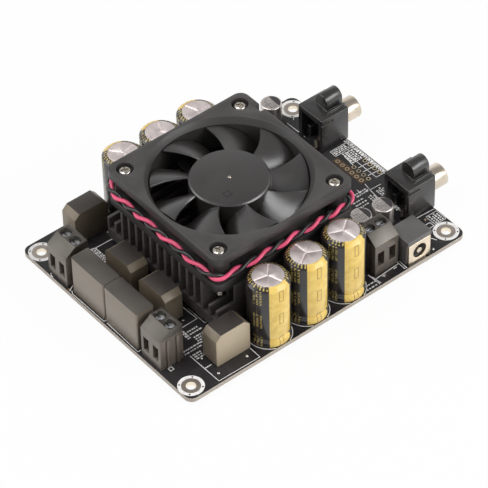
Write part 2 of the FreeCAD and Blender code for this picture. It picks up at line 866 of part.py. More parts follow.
def power_jack():
    """Barrel jack: moulded housing with a brow, a bright front plate and a centre pin."""
    zero = as_size(0)
    half = s.jack_width / 2
    plate_top = s.jack_height - s.jack_brow
    housing = new_body("jack_housing")
    pad(housing, "YZ", -half, half, [
        (s.face_thick, 0), (s.jack_depth, 0), (s.jack_depth, s.jack_height),
        (0, s.jack_height), (0, plate_top), (s.face_thick, plate_top),
    ])
    pocket(housing, "XZ", zero, s.jack_bore_depth, circle(zero, s.jack_axis, s.jack_bore_radius))
    pocket(housing, "XZ", s.jack_bore_depth, s.jack_depth,
           circle(zero, s.jack_axis, s.jack_pin_root))
    node("jack_housing", place(housing, s.jack_x, s.jack_front_y, s.board_thick))

    face = new_body("jack_face")
    side = s.face_width / 2
    pad(face, "XZ", zero, s.face_thick,
        rectangle(-side, side, zero, plate_top),
        circle(zero, s.jack_axis, s.jack_bore_radius))
    tail_x, tail = side - s.jack_tail_width, s.jack_tail_width / 2
    pad(face, "XY", -s.board_thick, zero,
        rectangle(tail_x - tail, tail_x + tail, zero, s.jack_tail_thick))
    node("jack_face", place(face, s.jack_x, s.jack_front_y, s.board_thick))
    corner = half_diagonal(s.jack_tail_width, s.jack_tail_thick)
    note_hole(s.jack_x, s.jack_front_y, 0, tail_x, s.jack_tail_thick / 2, corner)

    pin = new_body("jack_pin")
    back = s.jack_depth + s.jack_tail_thick
    pad(pin, "XZ", s.jack_pin_setback, s.jack_bore_depth,
        circle(zero, s.jack_axis, s.jack_pin_radius))
    pad(pin, "XZ", s.jack_bore_depth, s.jack_depth, circle(zero, s.jack_axis, s.jack_pin_root))
    pad(pin, "XZ", s.jack_depth, back, rectangle(-tail, tail, zero, s.jack_axis + tail))
    pad(pin, "XY", -s.board_thick, zero, rectangle(-tail, tail, s.jack_depth, back))
    node("jack_pin", place(pin, s.jack_x, s.jack_front_y, s.board_thick))
    note_hole(s.jack_x, s.jack_front_y, 0, zero, (s.jack_depth + back) / 2, corner)


# Levels of the stack over the chip
spacer_top = s.board_thick + s.chip_height + s.pad_thick
fan_bottom = spacer_top + s.heatsink_height


def chip_stack():
    """Amplifier chip with its gull-wing leads, and the thermal pad on it."""
    zero = as_size(0)
    chip = new_body("amplifier_chip")
    pad(chip, "XY", s.chip_lead_thick, s.chip_height,
        centred(zero, zero, s.chip_length, s.chip_width))
    first = -s.chip_lead_pitch * (s.chip_lead_rows - 1) / 2
    reach = s.chip_width / 2 + s.chip_lead_reach
    lead = pad(chip, "XY", zero, s.chip_lead_thick * 2,
               centred(first, zero, s.chip_lead_width, 2 * reach))
    row_of(chip, [lead], "X", s.chip_lead_pitch * (s.chip_lead_rows - 1), s.chip_lead_rows)
    node("amplifier_chip", place(chip, s.fan_centre_x, s.fan_centre_y, s.board_thick))

    thermal_pad = new_body("thermal_pad")
    pad(thermal_pad, "XY", zero, s.pad_thick,
        centred(zero, zero, s.chip_length, s.chip_width))
    node("thermal_pad",
         place(thermal_pad, s.fan_centre_x, s.fan_centre_y, s.board_thick + s.chip_height))


def heatsink():
    """Extruded base and fins, notched at the corners for the fan screws."""
    body = new_body("heatsink")
    zero = as_size(0)
    half_length, half_width = s.heatsink_length / 2, s.heatsink_width / 2
    pad(body, "XY", zero, s.heatsink_base,
        rectangle(-half_length, half_length, -half_width, half_width))
    fin = pad(body, "XY", s.heatsink_base, s.heatsink_height,
              rectangle(-half_length, half_length, -half_width, -half_width + s.fin_thick))
    row_of(body, [fin], "Y", s.heatsink_width - s.fin_thick, s.fin_count)
    corners = []
    for side_x in (-1, 1):
        for side_y in (-1, 1):
            corners.append(centred(
                side_x * (half_length - s.fin_notch_length / 2),
                side_y * (half_width - s.fin_notch_width / 2),
                s.fin_notch_length, s.fin_notch_width))
    pocket(body, "XY", s.heatsink_height - s.fin_notch_depth, s.heatsink_height, *corners)
    reach = s.spacer_pitch / 2
    pocket(body, "XY", zero, s.heatsink_screw_depth,
           *[circle(side * reach, zero, s.heatsink_screw_radius) for side in (-1, 1)])
    node("heatsink", place(body, s.fan_centre_x, s.fan_centre_y, spacer_top))

    spacers, screws = [], []
    for side in (-1, 1):
        x = s.fan_centre_x + side * reach
        spacer = new_body("spacer")
        pad(spacer, "XY", zero, spacer_top - s.board_thick,
            circle(zero, zero, s.spacer_radius),
            circle(zero, zero, s.heatsink_screw_radius + s.screw_clearance))
        spacers.append(place(spacer, x, s.fan_centre_y, s.board_thick))
        screw = new_body("heatsink_screw")
        radius, head = s.heatsink_screw_radius, s.heatsink_screw_head
        rise = s.heatsink_screw_head_height
        turn(screw, [
            (0, -rise), (head - rise / 2, -rise), (head, -rise / 2), (head, 0), (radius, 0),
            (radius, spacer_top + s.heatsink_screw_depth),
            (0, spacer_top + s.heatsink_screw_depth),
        ])
        screws.append(place(screw, x, s.fan_centre_y, zero))
    group("heatsink_spacers", spacers)
    group("heatsink_screws", screws)


def fan_corners():
    """The four screw places of the fan."""
    reach = s.fan_hole_pitch / 2
    return [(x * reach, y * reach) for x in (-1, 1) for y in (-1, 1)]


def place_in_fan(item, angle=0):
    return place(item, s.fan_centre_x, s.fan_centre_y, fan_bottom, angle)


def fan_frame():
    """Square frame: two flanges joined by the duct and the corner posts, with the motor base
    held by four struts, a wire exit on one side and a notch in the top flange."""
    body = new_body("fan_frame")
    zero = as_size(0)
    height, flange = s.fan_height, s.flange_thick
    plate = rounded(s.fan_width, s.fan_width, s.fan_corner)
    pad(body, "XY", zero, height, circle(zero, zero, s.tube_radius))
    pad(body, "XY", zero, flange, plate)
    pad(body, "XY", height - flange, height, plate)
    pad(body, "XY", zero, height, *[circle(x, y, s.post_radius) for x, y in fan_corners()])
    exit_end = s.exit_place + s.exit_length
    pad(body, "XY", s.lead_level - s.lead_radius, s.lead_level + s.lead_radius,
        rectangle(s.duct_radius / 2, s.lead_offset + s.lead_radius, s.exit_place, exit_end))
    mouth, bore, depth = s.duct_mouth_radius, s.duct_radius, s.duct_mouth_depth
    groove(body, [
        (0, 0), (mouth, 0), (bore, depth), (bore, height - depth), (mouth, height),
        (0, height),
    ])
    half, strut = s.tube_radius, s.strut_width / 2
    pad(body, "XY", zero, s.strut_thick, rectangle(-half, half, -strut, strut))
    pad(body, "XY", zero, s.strut_thick, rectangle(-strut, strut, -half, half))
    pad(body, "XY", zero, s.strut_thick, circle(zero, zero, s.motor_base_radius))
    bearing_top = s.bearing_seat + s.bearing_length
    pad(body, "XY", s.strut_thick, bearing_top,
        circle(zero, zero, s.bearing_radius + s.bearing_tube_wall))
    pocket(body, "XY", s.bearing_seat, bearing_top, circle(zero, zero, s.bearing_radius))
    pocket(body, "XY", zero, height,
           *[circle(x, y, s.fan_hole_radius) for x, y in fan_corners()])
    pocket(body, "XY", height - s.fan_bore_depth, height,
           *[circle(x, y, s.fan_bore_radius) for x, y in fan_corners()])
    edge = s.fan_width / 2
    pocket(body, "XY", height - flange, height,
           centred(edge - s.flange_notch_depth / 2, s.flange_notch_place,
                   s.flange_notch_depth, s.flange_notch_width))
    node("fan_frame", place_in_fan(body))


def blade_section(body, distance, sweep, span):
    """Cambered blade section on a plane at a distance from the axis. The top edge lies at
    the sweep angle and the bottom edge one span behind it."""
    top = distance * tangent(sweep)
    bottom = distance * tangent(sweep - span)
    low, high, camber = s.blade_bottom, s.blade_top, s.blade_camber_radius
    run, rise = top - bottom, high - low
    chord = 2 * half_diagonal(run, rise)
    across, down = s.blade_thick * rise / chord, s.blade_thick * run / chord
    return sketch(body, "YZ", distance, [
        (bottom, low + down, -camber), (top - across, high), (top, high - down, camber),
        (bottom + across, low),
    ])


def fan_rotor():
    """Hub cup with nine swept blades, grown out of a solid hub, trimmed to the tip circle and
    hollowed for the motor."""
    body = new_body("fan_rotor")
    radius, top, bottom = s.hub_radius, s.hub_top, s.hub_bottom
    turn(body, [
        (0, bottom), (radius, bottom), (radius, top - s.hub_chamfer),
        (radius - s.hub_chamfer, top), (0, top),
    ])
    tip = s.duct_radius - s.blade_gap
    root = radius - s.blade_root_depth
    middle = (radius + tip) / 2
    zero_angle = as_size(0)
    middle_span = (s.blade_root_span + s.blade_tip_span) / 2
    blade = body.newObject("PartDesign::AdditiveLoft", "Blade")
    blade.Profile = blade_section(body, root, zero_angle, s.blade_root_span)
    blade.Sections = [
        blade_section(body, middle, s.blade_middle_sweep, middle_span),
        blade_section(body, tip + s.blade_gap, s.blade_tip_sweep, s.blade_tip_span),
    ]
    ring_of(body, [blade], s.blade_count)
    beyond = tip + s.blade_trim
    groove(body, [(tip, bottom), (beyond, bottom), (beyond, top), (tip, top)])
    inner, ceiling = radius - s.hub_wall, top - s.hub_wall
    boss = s.shaft_radius + s.boss_wall
    boss_bottom = ceiling - s.shaft_bite
    groove(body, [
        (0, bottom), (inner, bottom), (inner, ceiling), (boss, ceiling), (boss, boss_bottom),
        (s.shaft_radius, boss_bottom), (s.shaft_radius, ceiling), (0, ceiling),
    ])
    node("fan_rotor", place_in_fan(body, s.blade_phase.number))


def fan_motor():
    """Yoke, magnet and shaft that turn with the hub; bearing, stator and circuit disc."""
    zero = as_size(0)
    ceiling = s.hub_top - s.hub_wall
    yoke_outer = s.hub_radius - s.hub_wall
    yoke_inner = yoke_outer - s.yoke_wall
    boss = s.shaft_radius + s.boss_wall
    yoke_bottom = ceiling - s.magnet_height - 2 * s.yoke_wall
    yoke = new_body("rotor_yoke")
    turn(yoke, [
        (yoke_inner, yoke_bottom), (yoke_outer, yoke_bottom), (yoke_outer, ceiling),
        (boss, ceiling), (boss, ceiling - s.yoke_wall), (yoke_inner, ceiling - s.yoke_wall),
    ])
    node("rotor_yoke", place_in_fan(yoke))

    magnet_inner = yoke_inner - s.magnet_wall
    magnet = new_body("rotor_magnet")
    magnet_bottom = yoke_bottom + s.yoke_wall / 2
    pad(magnet, "XY", magnet_bottom, magnet_bottom + s.magnet_height,
        circle(zero, zero, yoke_inner), circle(zero, zero, magnet_inner))
    node("rotor_magnet", place_in_fan(magnet))

    shaft = new_body("fan_shaft")
    pad(shaft, "XY", s.bearing_seat + s.air_gap / 2, ceiling, circle(zero, zero, s.shaft_radius))
    node("fan_shaft", place_in_fan(shaft))

    bearing = new_body("fan_bearing")
    pad(bearing, "XY", s.bearing_seat, s.bearing_seat + s.bearing_length,
        circle(zero, zero, s.bearing_radius),
        circle(zero, zero, s.shaft_radius + s.bearing_clearance))
    node("fan_bearing", place_in_fan(bearing))

    disc = new_body("fan_circuit")
    tube = s.bearing_radius + s.bearing_tube_wall
    pad(disc, "XY", s.strut_thick, s.strut_thick + s.circuit_disc_thick,
        circle(zero, zero, s.circuit_disc_radius), circle(zero, zero, tube))
    node("fan_circuit", place_in_fan(disc))

    stator = new_body("fan_stator")
    low, high = s.stator_bottom, s.stator_bottom + s.stator_height
    outer = magnet_inner - s.air_gap
    core = tube + s.pole_width / 2
    pad(stator, "XY", low, high, circle(zero, zero, core), circle(zero, zero, tube))
    half, shoe = s.pole_width / 2, s.pole_shoe_half_width
    arm_end = outer - s.pole_shoe_thick
    arm = pad(stator, "XY", low, high, rectangle((core + tube) / 2, arm_end, -half, half))
    shoe_pad = pad(stator, "XY", low, high, [
        (arm_end - half / 2, -shoe), (arm_end, -shoe, outer), (arm_end, shoe),
        (arm_end - half / 2, shoe),
    ])
    wire = s.winding_width / 2
    winding = pad(stator, "XY", low - s.winding_overhang, high + s.winding_overhang,
                  rectangle(core, arm_end - half, -wire, wire))
    ring_of(stator, [arm, shoe_pad, winding], s.pole_count)
    node("fan_stator", place_in_fan(stator))


def fan_screws():
    """Four pan-head screws through the frame into the heatsink's corner notches."""
    screws = []
    seat = s.fan_height - s.fan_bore_depth
    top = seat + s.fan_screw_head_height
    head, radius = s.fan_screw_head, s.fan_screw_radius
    bevel = s.fan_screw_bevel
    for x, y in fan_corners():
        screw = new_body("fan_screw")
        turn(screw, [
            (0, -s.fan_screw_reach), (radius, -s.fan_screw_reach), (radius, seat),
            (head, seat), (head, top - bevel), (head - bevel, top), (0, top),
        ])
        screws.append(place(screw, s.fan_centre_x + x, s.fan_centre_y + y, fan_bottom))
    group("fan_screws", screws)


def header_and_plug():
    """Two-pin header on the board with the lead's plug pushed home in it."""
    zero = as_size(0)
    x, y = s.header_x, s.header_y
    places = (-s.header_pin_pitch / 2, s.header_pin_pitch / 2)
    pin = s.header_pin
    header = new_body("fan_header")
    pad(header, "XY", zero, s.header_height, centred(zero, zero, s.header_length, s.header_width))
    wall = 2 * s.header_wall
    pocket(header, "XY", s.header_floor, s.header_height,
           centred(zero, zero, s.header_length - wall, s.header_width - wall))
    pocket(header, "XY", zero, s.header_floor, *[centred(at, zero, pin, pin) for at in places])
    node("fan_header", place(header, x, y, s.board_thick))

    pins = []
    for at in places:
        post = new_body("header_pin")
        pad(post, "XY", -s.board_thick, s.header_pin_top, centred(zero, zero, pin, pin))
        pins.append(place(post, x + at, y, s.board_thick))
        note_hole(x, y, 0, at, zero, half_diagonal(pin, pin))
    group("header_pins", pins)

    plug = new_body("fan_plug")
    gap = wall + 2 * s.plug_clearance
    pad(plug, "XY", s.header_floor + s.plug_clearance, s.plug_height,
        centred(zero, zero, s.header_length - gap, s.header_width - gap))
    socket = pin + 2 * s.plug_clearance
    pocket(plug, "XY", s.header_floor, s.header_pin_top + s.plug_clearance,
           *[centred(at, zero, socket, socket) for at in places])
    node("fan_plug", place(plug, x, y, s.board_thick))


def rounded_path(points, radii):
    """Straight runs joined by tangent arcs, one radius for each inner point."""
    edges = []
    start = points[0]
    for before, corner, after, radius in zip(points, points[1:], points[2:], radii):
        inward = (before - corner).normalize()
        outward = (after - corner).normalize()
        half = inward.getAngle(outward) / 2
        reach = radius / math.tan(half)
        bisector = (inward + outward).normalize()
        first = corner + inward * reach
        last = corner + outward * reach
        middle = corner + bisector * (radius / math.sin(half) - radius)
        edges.append(Part.makeLine(start, first))
        edges.append(Part.Arc(first, middle, last).toShape())
        start = last
    edges.append(Part.makeLine(start, points[-1]))
    return Part.Wire(edges)


def fan_lead():
    """Twisted pair as one round lead: out of the frame's wire exit, once round the frame in
    the recess between its flanges, then down to the plug."""
    side, level = s.lead_offset.number, s.lead_level.number
    bend, leave_bend = s.lead_bend.number, s.lead_leave_bend.number
    exit_end = (s.exit_place + s.exit_length).number
    plug_x = (s.header_x - s.fan_centre_x).number
    plug_y = (s.header_y - s.fan_centre_y).number
    plug_top = (s.board_thick + s.plug_height - fan_bottom).number
    bow, arch = s.lead_bow.number, s.lead_arch.number
    leave = FreeCAD.Vector(side, s.lead_leave_place.number, level)
    approach = FreeCAD.Vector(plug_x, plug_y, plug_top + s.lead_drop.number)
    between = (leave + approach) / 2 + FreeCAD.Vector(bow, -bow, arch)
    points = [
        FreeCAD.Vector(side, exit_end, level), FreeCAD.Vector(side, side, level),
        FreeCAD.Vector(-side, side, level), FreeCAD.Vector(-side, -side, level),
        FreeCAD.Vector(side, -side, level), leave, between, approach,
        FreeCAD.Vector(plug_x, plug_y, plug_top),
    ]
    radii = [bend, bend, bend, bend, leave_bend, leave_bend, s.lead_drop_bend.number]
    path = rounded_path(points, radii)
    section = Part.Wire(Part.makeCircle(s.lead_radius.number, points[0], FreeCAD.Vector(0, 1, 0)))
    lead = document.addObject("Part::Feature", "fan_lead")
    lead.Shape = path.makePipeShell([section], True, True)
    expected = math.pi * s.lead_radius.number ** 2 * path.Length
    if abs(lead.Shape.Volume / expected - 1) > VOLUME_TOLERANCE:
        raise RuntimeError("fan_lead's volume isn't its section times its length")
    node("fan_lead", place_in_fan(lead))


def surface_parts():
    """Small chip parts beside the power jack, each centred on its own place."""
    places = (
        (s.chip_part_1_x, s.chip_part_1_y), (s.chip_part_2_x, s.chip_part_2_y),
        (s.chip_part_3_x, s.chip_part_3_y),
    )
    length, width = s.chip_part_length, s.chip_part_width
    parts = []
    for x, y in places:
        block = document.addObject("Part::Box", "chip_part")
        bind(block, "Length", length)
        bind(block, "Width", width)
        bind(block, "Height", s.chip_part_height)
        parts.append(place(block, x - length / 2, y - width / 2, s.board_thick))
    group("surface_parts", parts)


def circuit_board():
    """Board with its mounting holes, a hole for every lead and the holes left open."""
    body = new_body("circuit_board")
    zero = as_size(0)
    pad(body, "XY", zero, s.board_thick,
        rounded(s.board_length, s.board_width, s.board_corner))
    mounts = [
        circle(x * s.mount_span_long / 2, y * s.mount_span_wide / 2, s.mount_hole_radius)
        for x in (-1, 1) for y in (-1, 1)
    ]
    screws = [
        circle(s.fan_centre_x + side * s.spacer_pitch / 2, s.fan_centre_y,
               s.heatsink_screw_radius + s.screw_clearance) for side in (-1, 1)
    ]
    spare = [
        circle(s.row_hole_x, s.row_hole_start_y + number * s.row_hole_pitch, s.open_hole_radius)
        for number in range(SIZES["row_hole_count"])
    ]
    spare += [
        circle(s.pair_hole_x + side * s.pair_hole_reach,
               s.pair_hole_start_y + number * s.pair_hole_pitch, s.open_hole_radius)
        for number in range(SIZES["pair_hole_count"]) for side in (0, 1)
    ]
    leads = [circle(*hole) for hole in lead_holes]
    pocket(body, "XY", zero, s.board_thick, *mounts, *screws, *spare, *leads)
    node("circuit_board", place(body, zero, zero, zero))


def solder_joints():
    """A cone of solder under each lead."""
    joints = []
    for x, y, radius in lead_holes:
        joint = document.addObject("Part::Cone", "joint")
        bind(joint, "Radius1", s.solder_tip_radius)
        bind(joint, "Radius2", radius + s.solder_ring)
        bind(joint, "Height", s.solder_height)
        joints.append(place(joint, x, y, -s.solder_height))
    group("solder_joints", joints)


chip_stack()
heatsink()
fan_frame()
fan_rotor()
fan_motor()
fan_screws()
header_and_plug()
fan_lead()

for number in range(3):
    cap_x = s.can_row_start + number * s.can_pitch
    power_capacitor(f"capacitor_front_{number + 1}", cap_x, -s.can_row_y)
    power_capacitor(f"capacitor_rear_{number + 1}", cap_x, s.can_row_y)

inductor("inductor_front", s.inductor_front_x, s.inductor_front_y, 0)
inductor("inductor_rear", s.inductor_rear_x, s.inductor_rear_y, 0)
half_pitch = s.inductor_middle_pitch / 2
inductor("inductor_middle_1", s.inductor_middle_x, s.inductor_middle_y + half_pitch, 90)
inductor("inductor_middle_2", s.inductor_middle_x, s.inductor_middle_y - half_pitch, 90)
film_capacitor("film_capacitor_1", s.film_x, s.film_y + s.film_pitch / 2)
film_capacitor("film_capacitor_2", s.film_x, s.film_y - s.film_pitch / 2)

fixed_contacts = terminal("terminal_left", s.left_front_x, s.left_rear_y, -90)
fixed_contacts += terminal("terminal_front", s.left_front_x, s.left_near_y, -90)
fixed_contacts += terminal("terminal_power", s.power_x, s.power_front_y, 0)
group("terminal_contacts", fixed_contacts)

socket_parts = []
for number, socket_y in enumerate((s.socket_y, -s.socket_y), start=1):
    phono_housing(f"socket_{number}_housing", s.socket_rear_x, socket_y)
    phono_shell(f"socket_{number}_shell", s.socket_rear_x, socket_y)
    socket_parts += phono_contacts(f"socket_{number}", s.socket_rear_x, socket_y)
group("socket_contacts", socket_parts)

power_jack()
small_capacitor("small_capacitor_1", s.small_can_1_x, s.small_can_1_y)
small_capacitor("small_capacitor_2", s.small_can_2_x, s.small_can_2_y)
small_capacitor("small_capacitor_3", s.small_can_3_x, s.small_can_3_y)
surface_parts()
circuit_board()
solder_joints()

document.recompute()
for item in document.Objects:
    if "Invalid" in item.State or "Error" in item.State:
        raise RuntimeError(f"{item.Label} did not recompute: {item.State}")
for name, item in nodes.items():
    if item.Shape.isNull() or not item.Shape.isValid():
        raise RuntimeError(f"{name} has no valid shape")

os.makedirs("parts", exist_ok=True)
for name, item in nodes.items():
    item.Shape.exportStep(f"parts/{name}.step")
print(len(nodes), "parts written")
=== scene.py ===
"""Looks of the audio amplifier board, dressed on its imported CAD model. Lengths are in millimetres
until a mesh is finished. The places and heights of the parts come from the CAD nodes."""
import math
import random

import bmesh
import bpy
from mathutils import Matrix, Vector

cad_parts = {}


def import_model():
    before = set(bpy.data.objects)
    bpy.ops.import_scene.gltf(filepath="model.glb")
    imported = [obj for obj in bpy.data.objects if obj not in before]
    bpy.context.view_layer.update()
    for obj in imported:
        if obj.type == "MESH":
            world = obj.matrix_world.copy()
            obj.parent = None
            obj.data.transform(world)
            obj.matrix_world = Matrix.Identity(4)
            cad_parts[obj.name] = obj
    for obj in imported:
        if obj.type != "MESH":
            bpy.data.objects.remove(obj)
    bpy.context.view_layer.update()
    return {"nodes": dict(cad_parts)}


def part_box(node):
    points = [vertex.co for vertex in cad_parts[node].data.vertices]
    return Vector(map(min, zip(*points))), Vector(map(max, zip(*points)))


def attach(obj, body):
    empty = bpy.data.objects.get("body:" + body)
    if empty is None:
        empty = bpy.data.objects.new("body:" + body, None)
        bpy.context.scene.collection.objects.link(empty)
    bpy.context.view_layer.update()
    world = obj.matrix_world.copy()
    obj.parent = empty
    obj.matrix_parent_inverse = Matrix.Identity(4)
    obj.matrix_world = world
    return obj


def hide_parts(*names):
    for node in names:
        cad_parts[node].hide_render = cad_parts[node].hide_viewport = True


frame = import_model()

MM = 0.001
RENDERED_WIDTH = 488
SENSOR = 36.0


def low_corner(name):
    """Lowest corner of a CAD node in millimetres."""
    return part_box(name)[0] / MM


def high_corner(name):
    """Highest corner of a CAD node in millimetres."""
    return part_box(name)[1] / MM


def middle(name):
    return (low_corner(name) + high_corner(name)) / 2


board_high = high_corner("circuit_board")
board_top = board_high.z
fan_middle = middle("fan_shaft")
fan_bottom = low_corner("fan_frame").z
hub_top = high_corner("fan_rotor").z


# Nodes, for materials and for geometry

def arithmetic(kind, swapped=False):
    """A method of two values that adds the Math node for them."""
    def result(self, other):
        values = (other, self) if swapped else (self, other)
        return self.nodes.math(kind, *values)
    return result


class Value:
    """A node's output that takes part in arithmetic."""

    def __init__(self, nodes, socket):
        self.nodes = nodes
        self.socket = socket

    __add__, __radd__ = arithmetic("ADD"), arithmetic("ADD", swapped=True)
    __sub__, __rsub__ = arithmetic("SUBTRACT"), arithmetic("SUBTRACT", swapped=True)
    __mul__, __rmul__ = arithmetic("MULTIPLY"), arithmetic("MULTIPLY", swapped=True)
    __truediv__ = arithmetic("DIVIDE")
    largest = arithmetic("MAXIMUM")

    def __abs__(self):
        return self.nodes.math("ABSOLUTE", self)

    def rise(self, low, high):
        """0 below low, 1 above high and smooth between, or falling if low is above high."""
        settings = {"interpolation_type": "SMOOTHSTEP"}
        return self.nodes.node("ShaderNodeMapRange", settings, {0: self, 1: low, 2: high})

    def within(self, low, high, soft):
        """1 between low and high, with soft ends."""
        return self.rise(low - soft, low + soft) * (1 - self.rise(high - soft, high + soft))


def emptied(owner):
    """The node tree of a material or of the surroundings, without the nodes it starts with."""
    owner.use_nodes = True
    owner.node_tree.nodes.clear()
    return owner.node_tree


class Nodes:
    """A node tree whose nodes are all made by one method."""

    def __init__(self, tree):
        self.tree = tree

    def made(self, kind, settings=None, sockets=None):
        """A new node: its settings first, then the values and links of its sockets."""
        item = self.tree.nodes.new(kind)
        for name, value in (settings or {}).items():
            setattr(item, name, value)
        for name, value in (sockets or {}).items():
            if isinstance(value, Value):
                self.tree.links.new(value.socket, item.inputs[name])
            else:
                item.inputs[name].default_value = value
        return item

    def node(self, kind, settings=None, sockets=None, output=0):
        """One output of a new node."""
        return Value(self, self.made(kind, settings, sockets).outputs[output])

    def math(self, operation, *values):
        return self.node("ShaderNodeMath", {"operation": operation}, dict(enumerate(values)))

    def split(self, vector):
        """The coordinates of a vector."""
        parts = self.made("ShaderNodeSeparateXYZ", {}, {0: vector})
        return [Value(self, socket) for socket in parts.outputs]


def tone(red, green, blue):
    """A colour as seen on screen, 0 to 255, as the linear colour that nodes use."""
    levels = [level / 255 for level in (red, green, blue)]
    linear = [v / 12.92 if v <= 0.04045 else ((v + 0.055) / 1.055) ** 2.4 for v in levels]
    return (*linear, 1.0)


def lighter(color, factor):
    """The same colour with its light multiplied."""
    return (*[min(1.0, channel * factor) for channel in color[:3]], 1.0)


class Finish(Nodes):
    """One material: a principled shader and the nodes that vary it over the surface."""

    def __init__(self, name, color, roughness, metallic=0.0, constants=None):
        self.material = bpy.data.materials.new(name)
        super().__init__(emptied(self.material))
        self.shader = self.made("ShaderNodeBsdfPrincipled", {}, {
            "Base Color": color, "Roughness": roughness, "Metallic": metallic,
            **(constants or {})})
        surface = Value(self, self.shader.outputs[0])
        self.made("ShaderNodeOutputMaterial", {}, {0: surface})
        metres = self.node("ShaderNodeTexCoord", output="Object")
        self.place = self.node("ShaderNodeVectorMath", {"operation": "SCALE"},
                               {0: metres, "Scale": 1 / MM})

    def axes(self):
        """The place's three coordinates in millimetres."""
        return self.split(self.place)

    def uv(self):
        """The piece's own two coordinates."""
        return self.split(self.node("ShaderNodeUVMap", {"uv_map": "UVMap"}))[:2]

    def noise(self, size, detail=2.0, stretch=None):
        """Cloudy noise of that size in millimetres, drawn out along an axis if asked."""
        place = self.place
        if stretch:
            place = self.node("ShaderNodeVectorMath", {"operation": "MULTIPLY"},
                              {0: place, 1: stretch})
        sockets = {"Vector": place, "Scale": 1 / size, "Detail": detail}
        return self.node("ShaderNodeTexNoise", {}, sockets)

    def blend(self, factor, first, second):
        """From the first colour to the second as the factor goes from 0 to 1."""
        sockets = {0: factor, 6: first, 7: second}
        return self.node("ShaderNodeMix", {"data_type": "RGBA"}, sockets, output=2)

    def drifting(self, cloud, color, spread, low=0.3, high=0.7):
        """A colour that goes from darker to lighter as a noise goes from low to high."""
        return self.blend(cloud.rise(low, high), lighter(color, 1 - spread),
                          lighter(color, 1 + spread))

    def closed(self, color, roughness, height, depth, metallic=None):
        """The material, once its colour and gloss vary and its surface is raised by a height of
        0 to 1 times a depth in millimetres."""
        sockets = {"Strength": 1.0, "Distance": depth * MM, "Height": height}
        bump = self.node("ShaderNodeBump", {}, sockets)
        varying = {"Base Color": color, "Roughness": roughness, "Metallic": metallic,
                   "Normal": bump}
        for socket, value in varying.items():
            if isinstance(value, Value):
                self.tree.links.new(value.socket, self.shader.inputs[socket])
        return self.material


NEUTRAL_SHINE, WARM_SHINE = (1.0, 1.0, 1.0, 1.0), (1.0, 0.93, 0.82, 1.0)
# Depth under a top face that takes a painted top tone, and reach about a front face that takes
# painted light.
PAINTED_TOP_DEPTH, PAINTED_FRONT_REACH = 0.12, 0.15
BOARD_CORNER = 3.0
SLEEVE_SCALE = 50.0
BAND_HALF = 0.092
MINUS_HALF, MINUS_LENGTH, MINUS_PITCH = 0.0195, 4.9, 10.4
MINUS_TOP = high_corner("capacitor_front_1").z - board_top + 6.8
TICKS_NEAR, TICKS_FAR, TICK_COLUMN, TICKS_HIGH = 0.14, 0.224, 0.028, 6.6
STROKE_PITCH = 0.72
RIM_LOW, RIM_HIGH, RIM_TICKS = MINUS_TOP + 0.35, MINUS_TOP + 1.85, 34
SMALL_ROW_PITCH = 0.85
CORE_INSET = 0.7
WIRE_TURNS = 18.0


def moulded(name, color, roughness, grain=0.5, depth=0.012, spread=0.14, coat=0.0, index=1.46,
            shine=NEUTRAL_SHINE, top=None, front=None):
    """Moulded plastic: the tone drifts, the skin has a fine grain and its gloss is uneven. A top
    face painted lighter (painted light) or darker (painted shade), and a front face painted lighter
    (painted light), are given by their place and colour."""
    finish = Finish(name, color, roughness, 0.0, {
        "Coat Weight": coat, "Coat Roughness": 0.25, "IOR": index, "Specular Tint": shine})
    cloud, fine = finish.noise(8.0, 3.0), finish.noise(grain, 2.0)
    x, y, z = finish.axes()
    skin = finish.drifting(cloud, color, spread)
    # The top face is painted in another tone: painted light where lighter, painted shade where
    # darker.
    if top:
        level, face = top
        painted_top_share = z.rise(level - PAINTED_TOP_DEPTH, level - PAINTED_TOP_DEPTH / 3)
        skin = finish.blend(painted_top_share, skin, finish.drifting(cloud, face, spread))
    # The front face is painted lighter: painted light.
    if front:
        place, face = front
        near = y.within(place - PAINTED_FRONT_REACH, place + PAINTED_FRONT_REACH, 0.02)
        skin = finish.blend(near, skin, face)
    gloss = roughness + 0.14 * (fine - 0.5) + 0.16 * (cloud - 0.5)
    return finish.closed(skin, gloss, fine, depth)


def worked_metal(name, color, roughness, stretch=(1.0, 1.0, 1.0), depth=0.004, spread=0.12):
    """Plated or bare metal with fine working marks drawn out along one axis."""
    finish = Finish(name, color, roughness, 1.0)
    marks, cloud = finish.noise(0.35, 2.0, stretch), finish.noise(5.0, 3.0)
    gloss = roughness + 0.18 * (marks - 0.5) + 0.12 * (cloud - 0.5)
    return finish.closed(finish.drifting(cloud, color, spread, 0.25, 0.75), gloss, marks, depth)


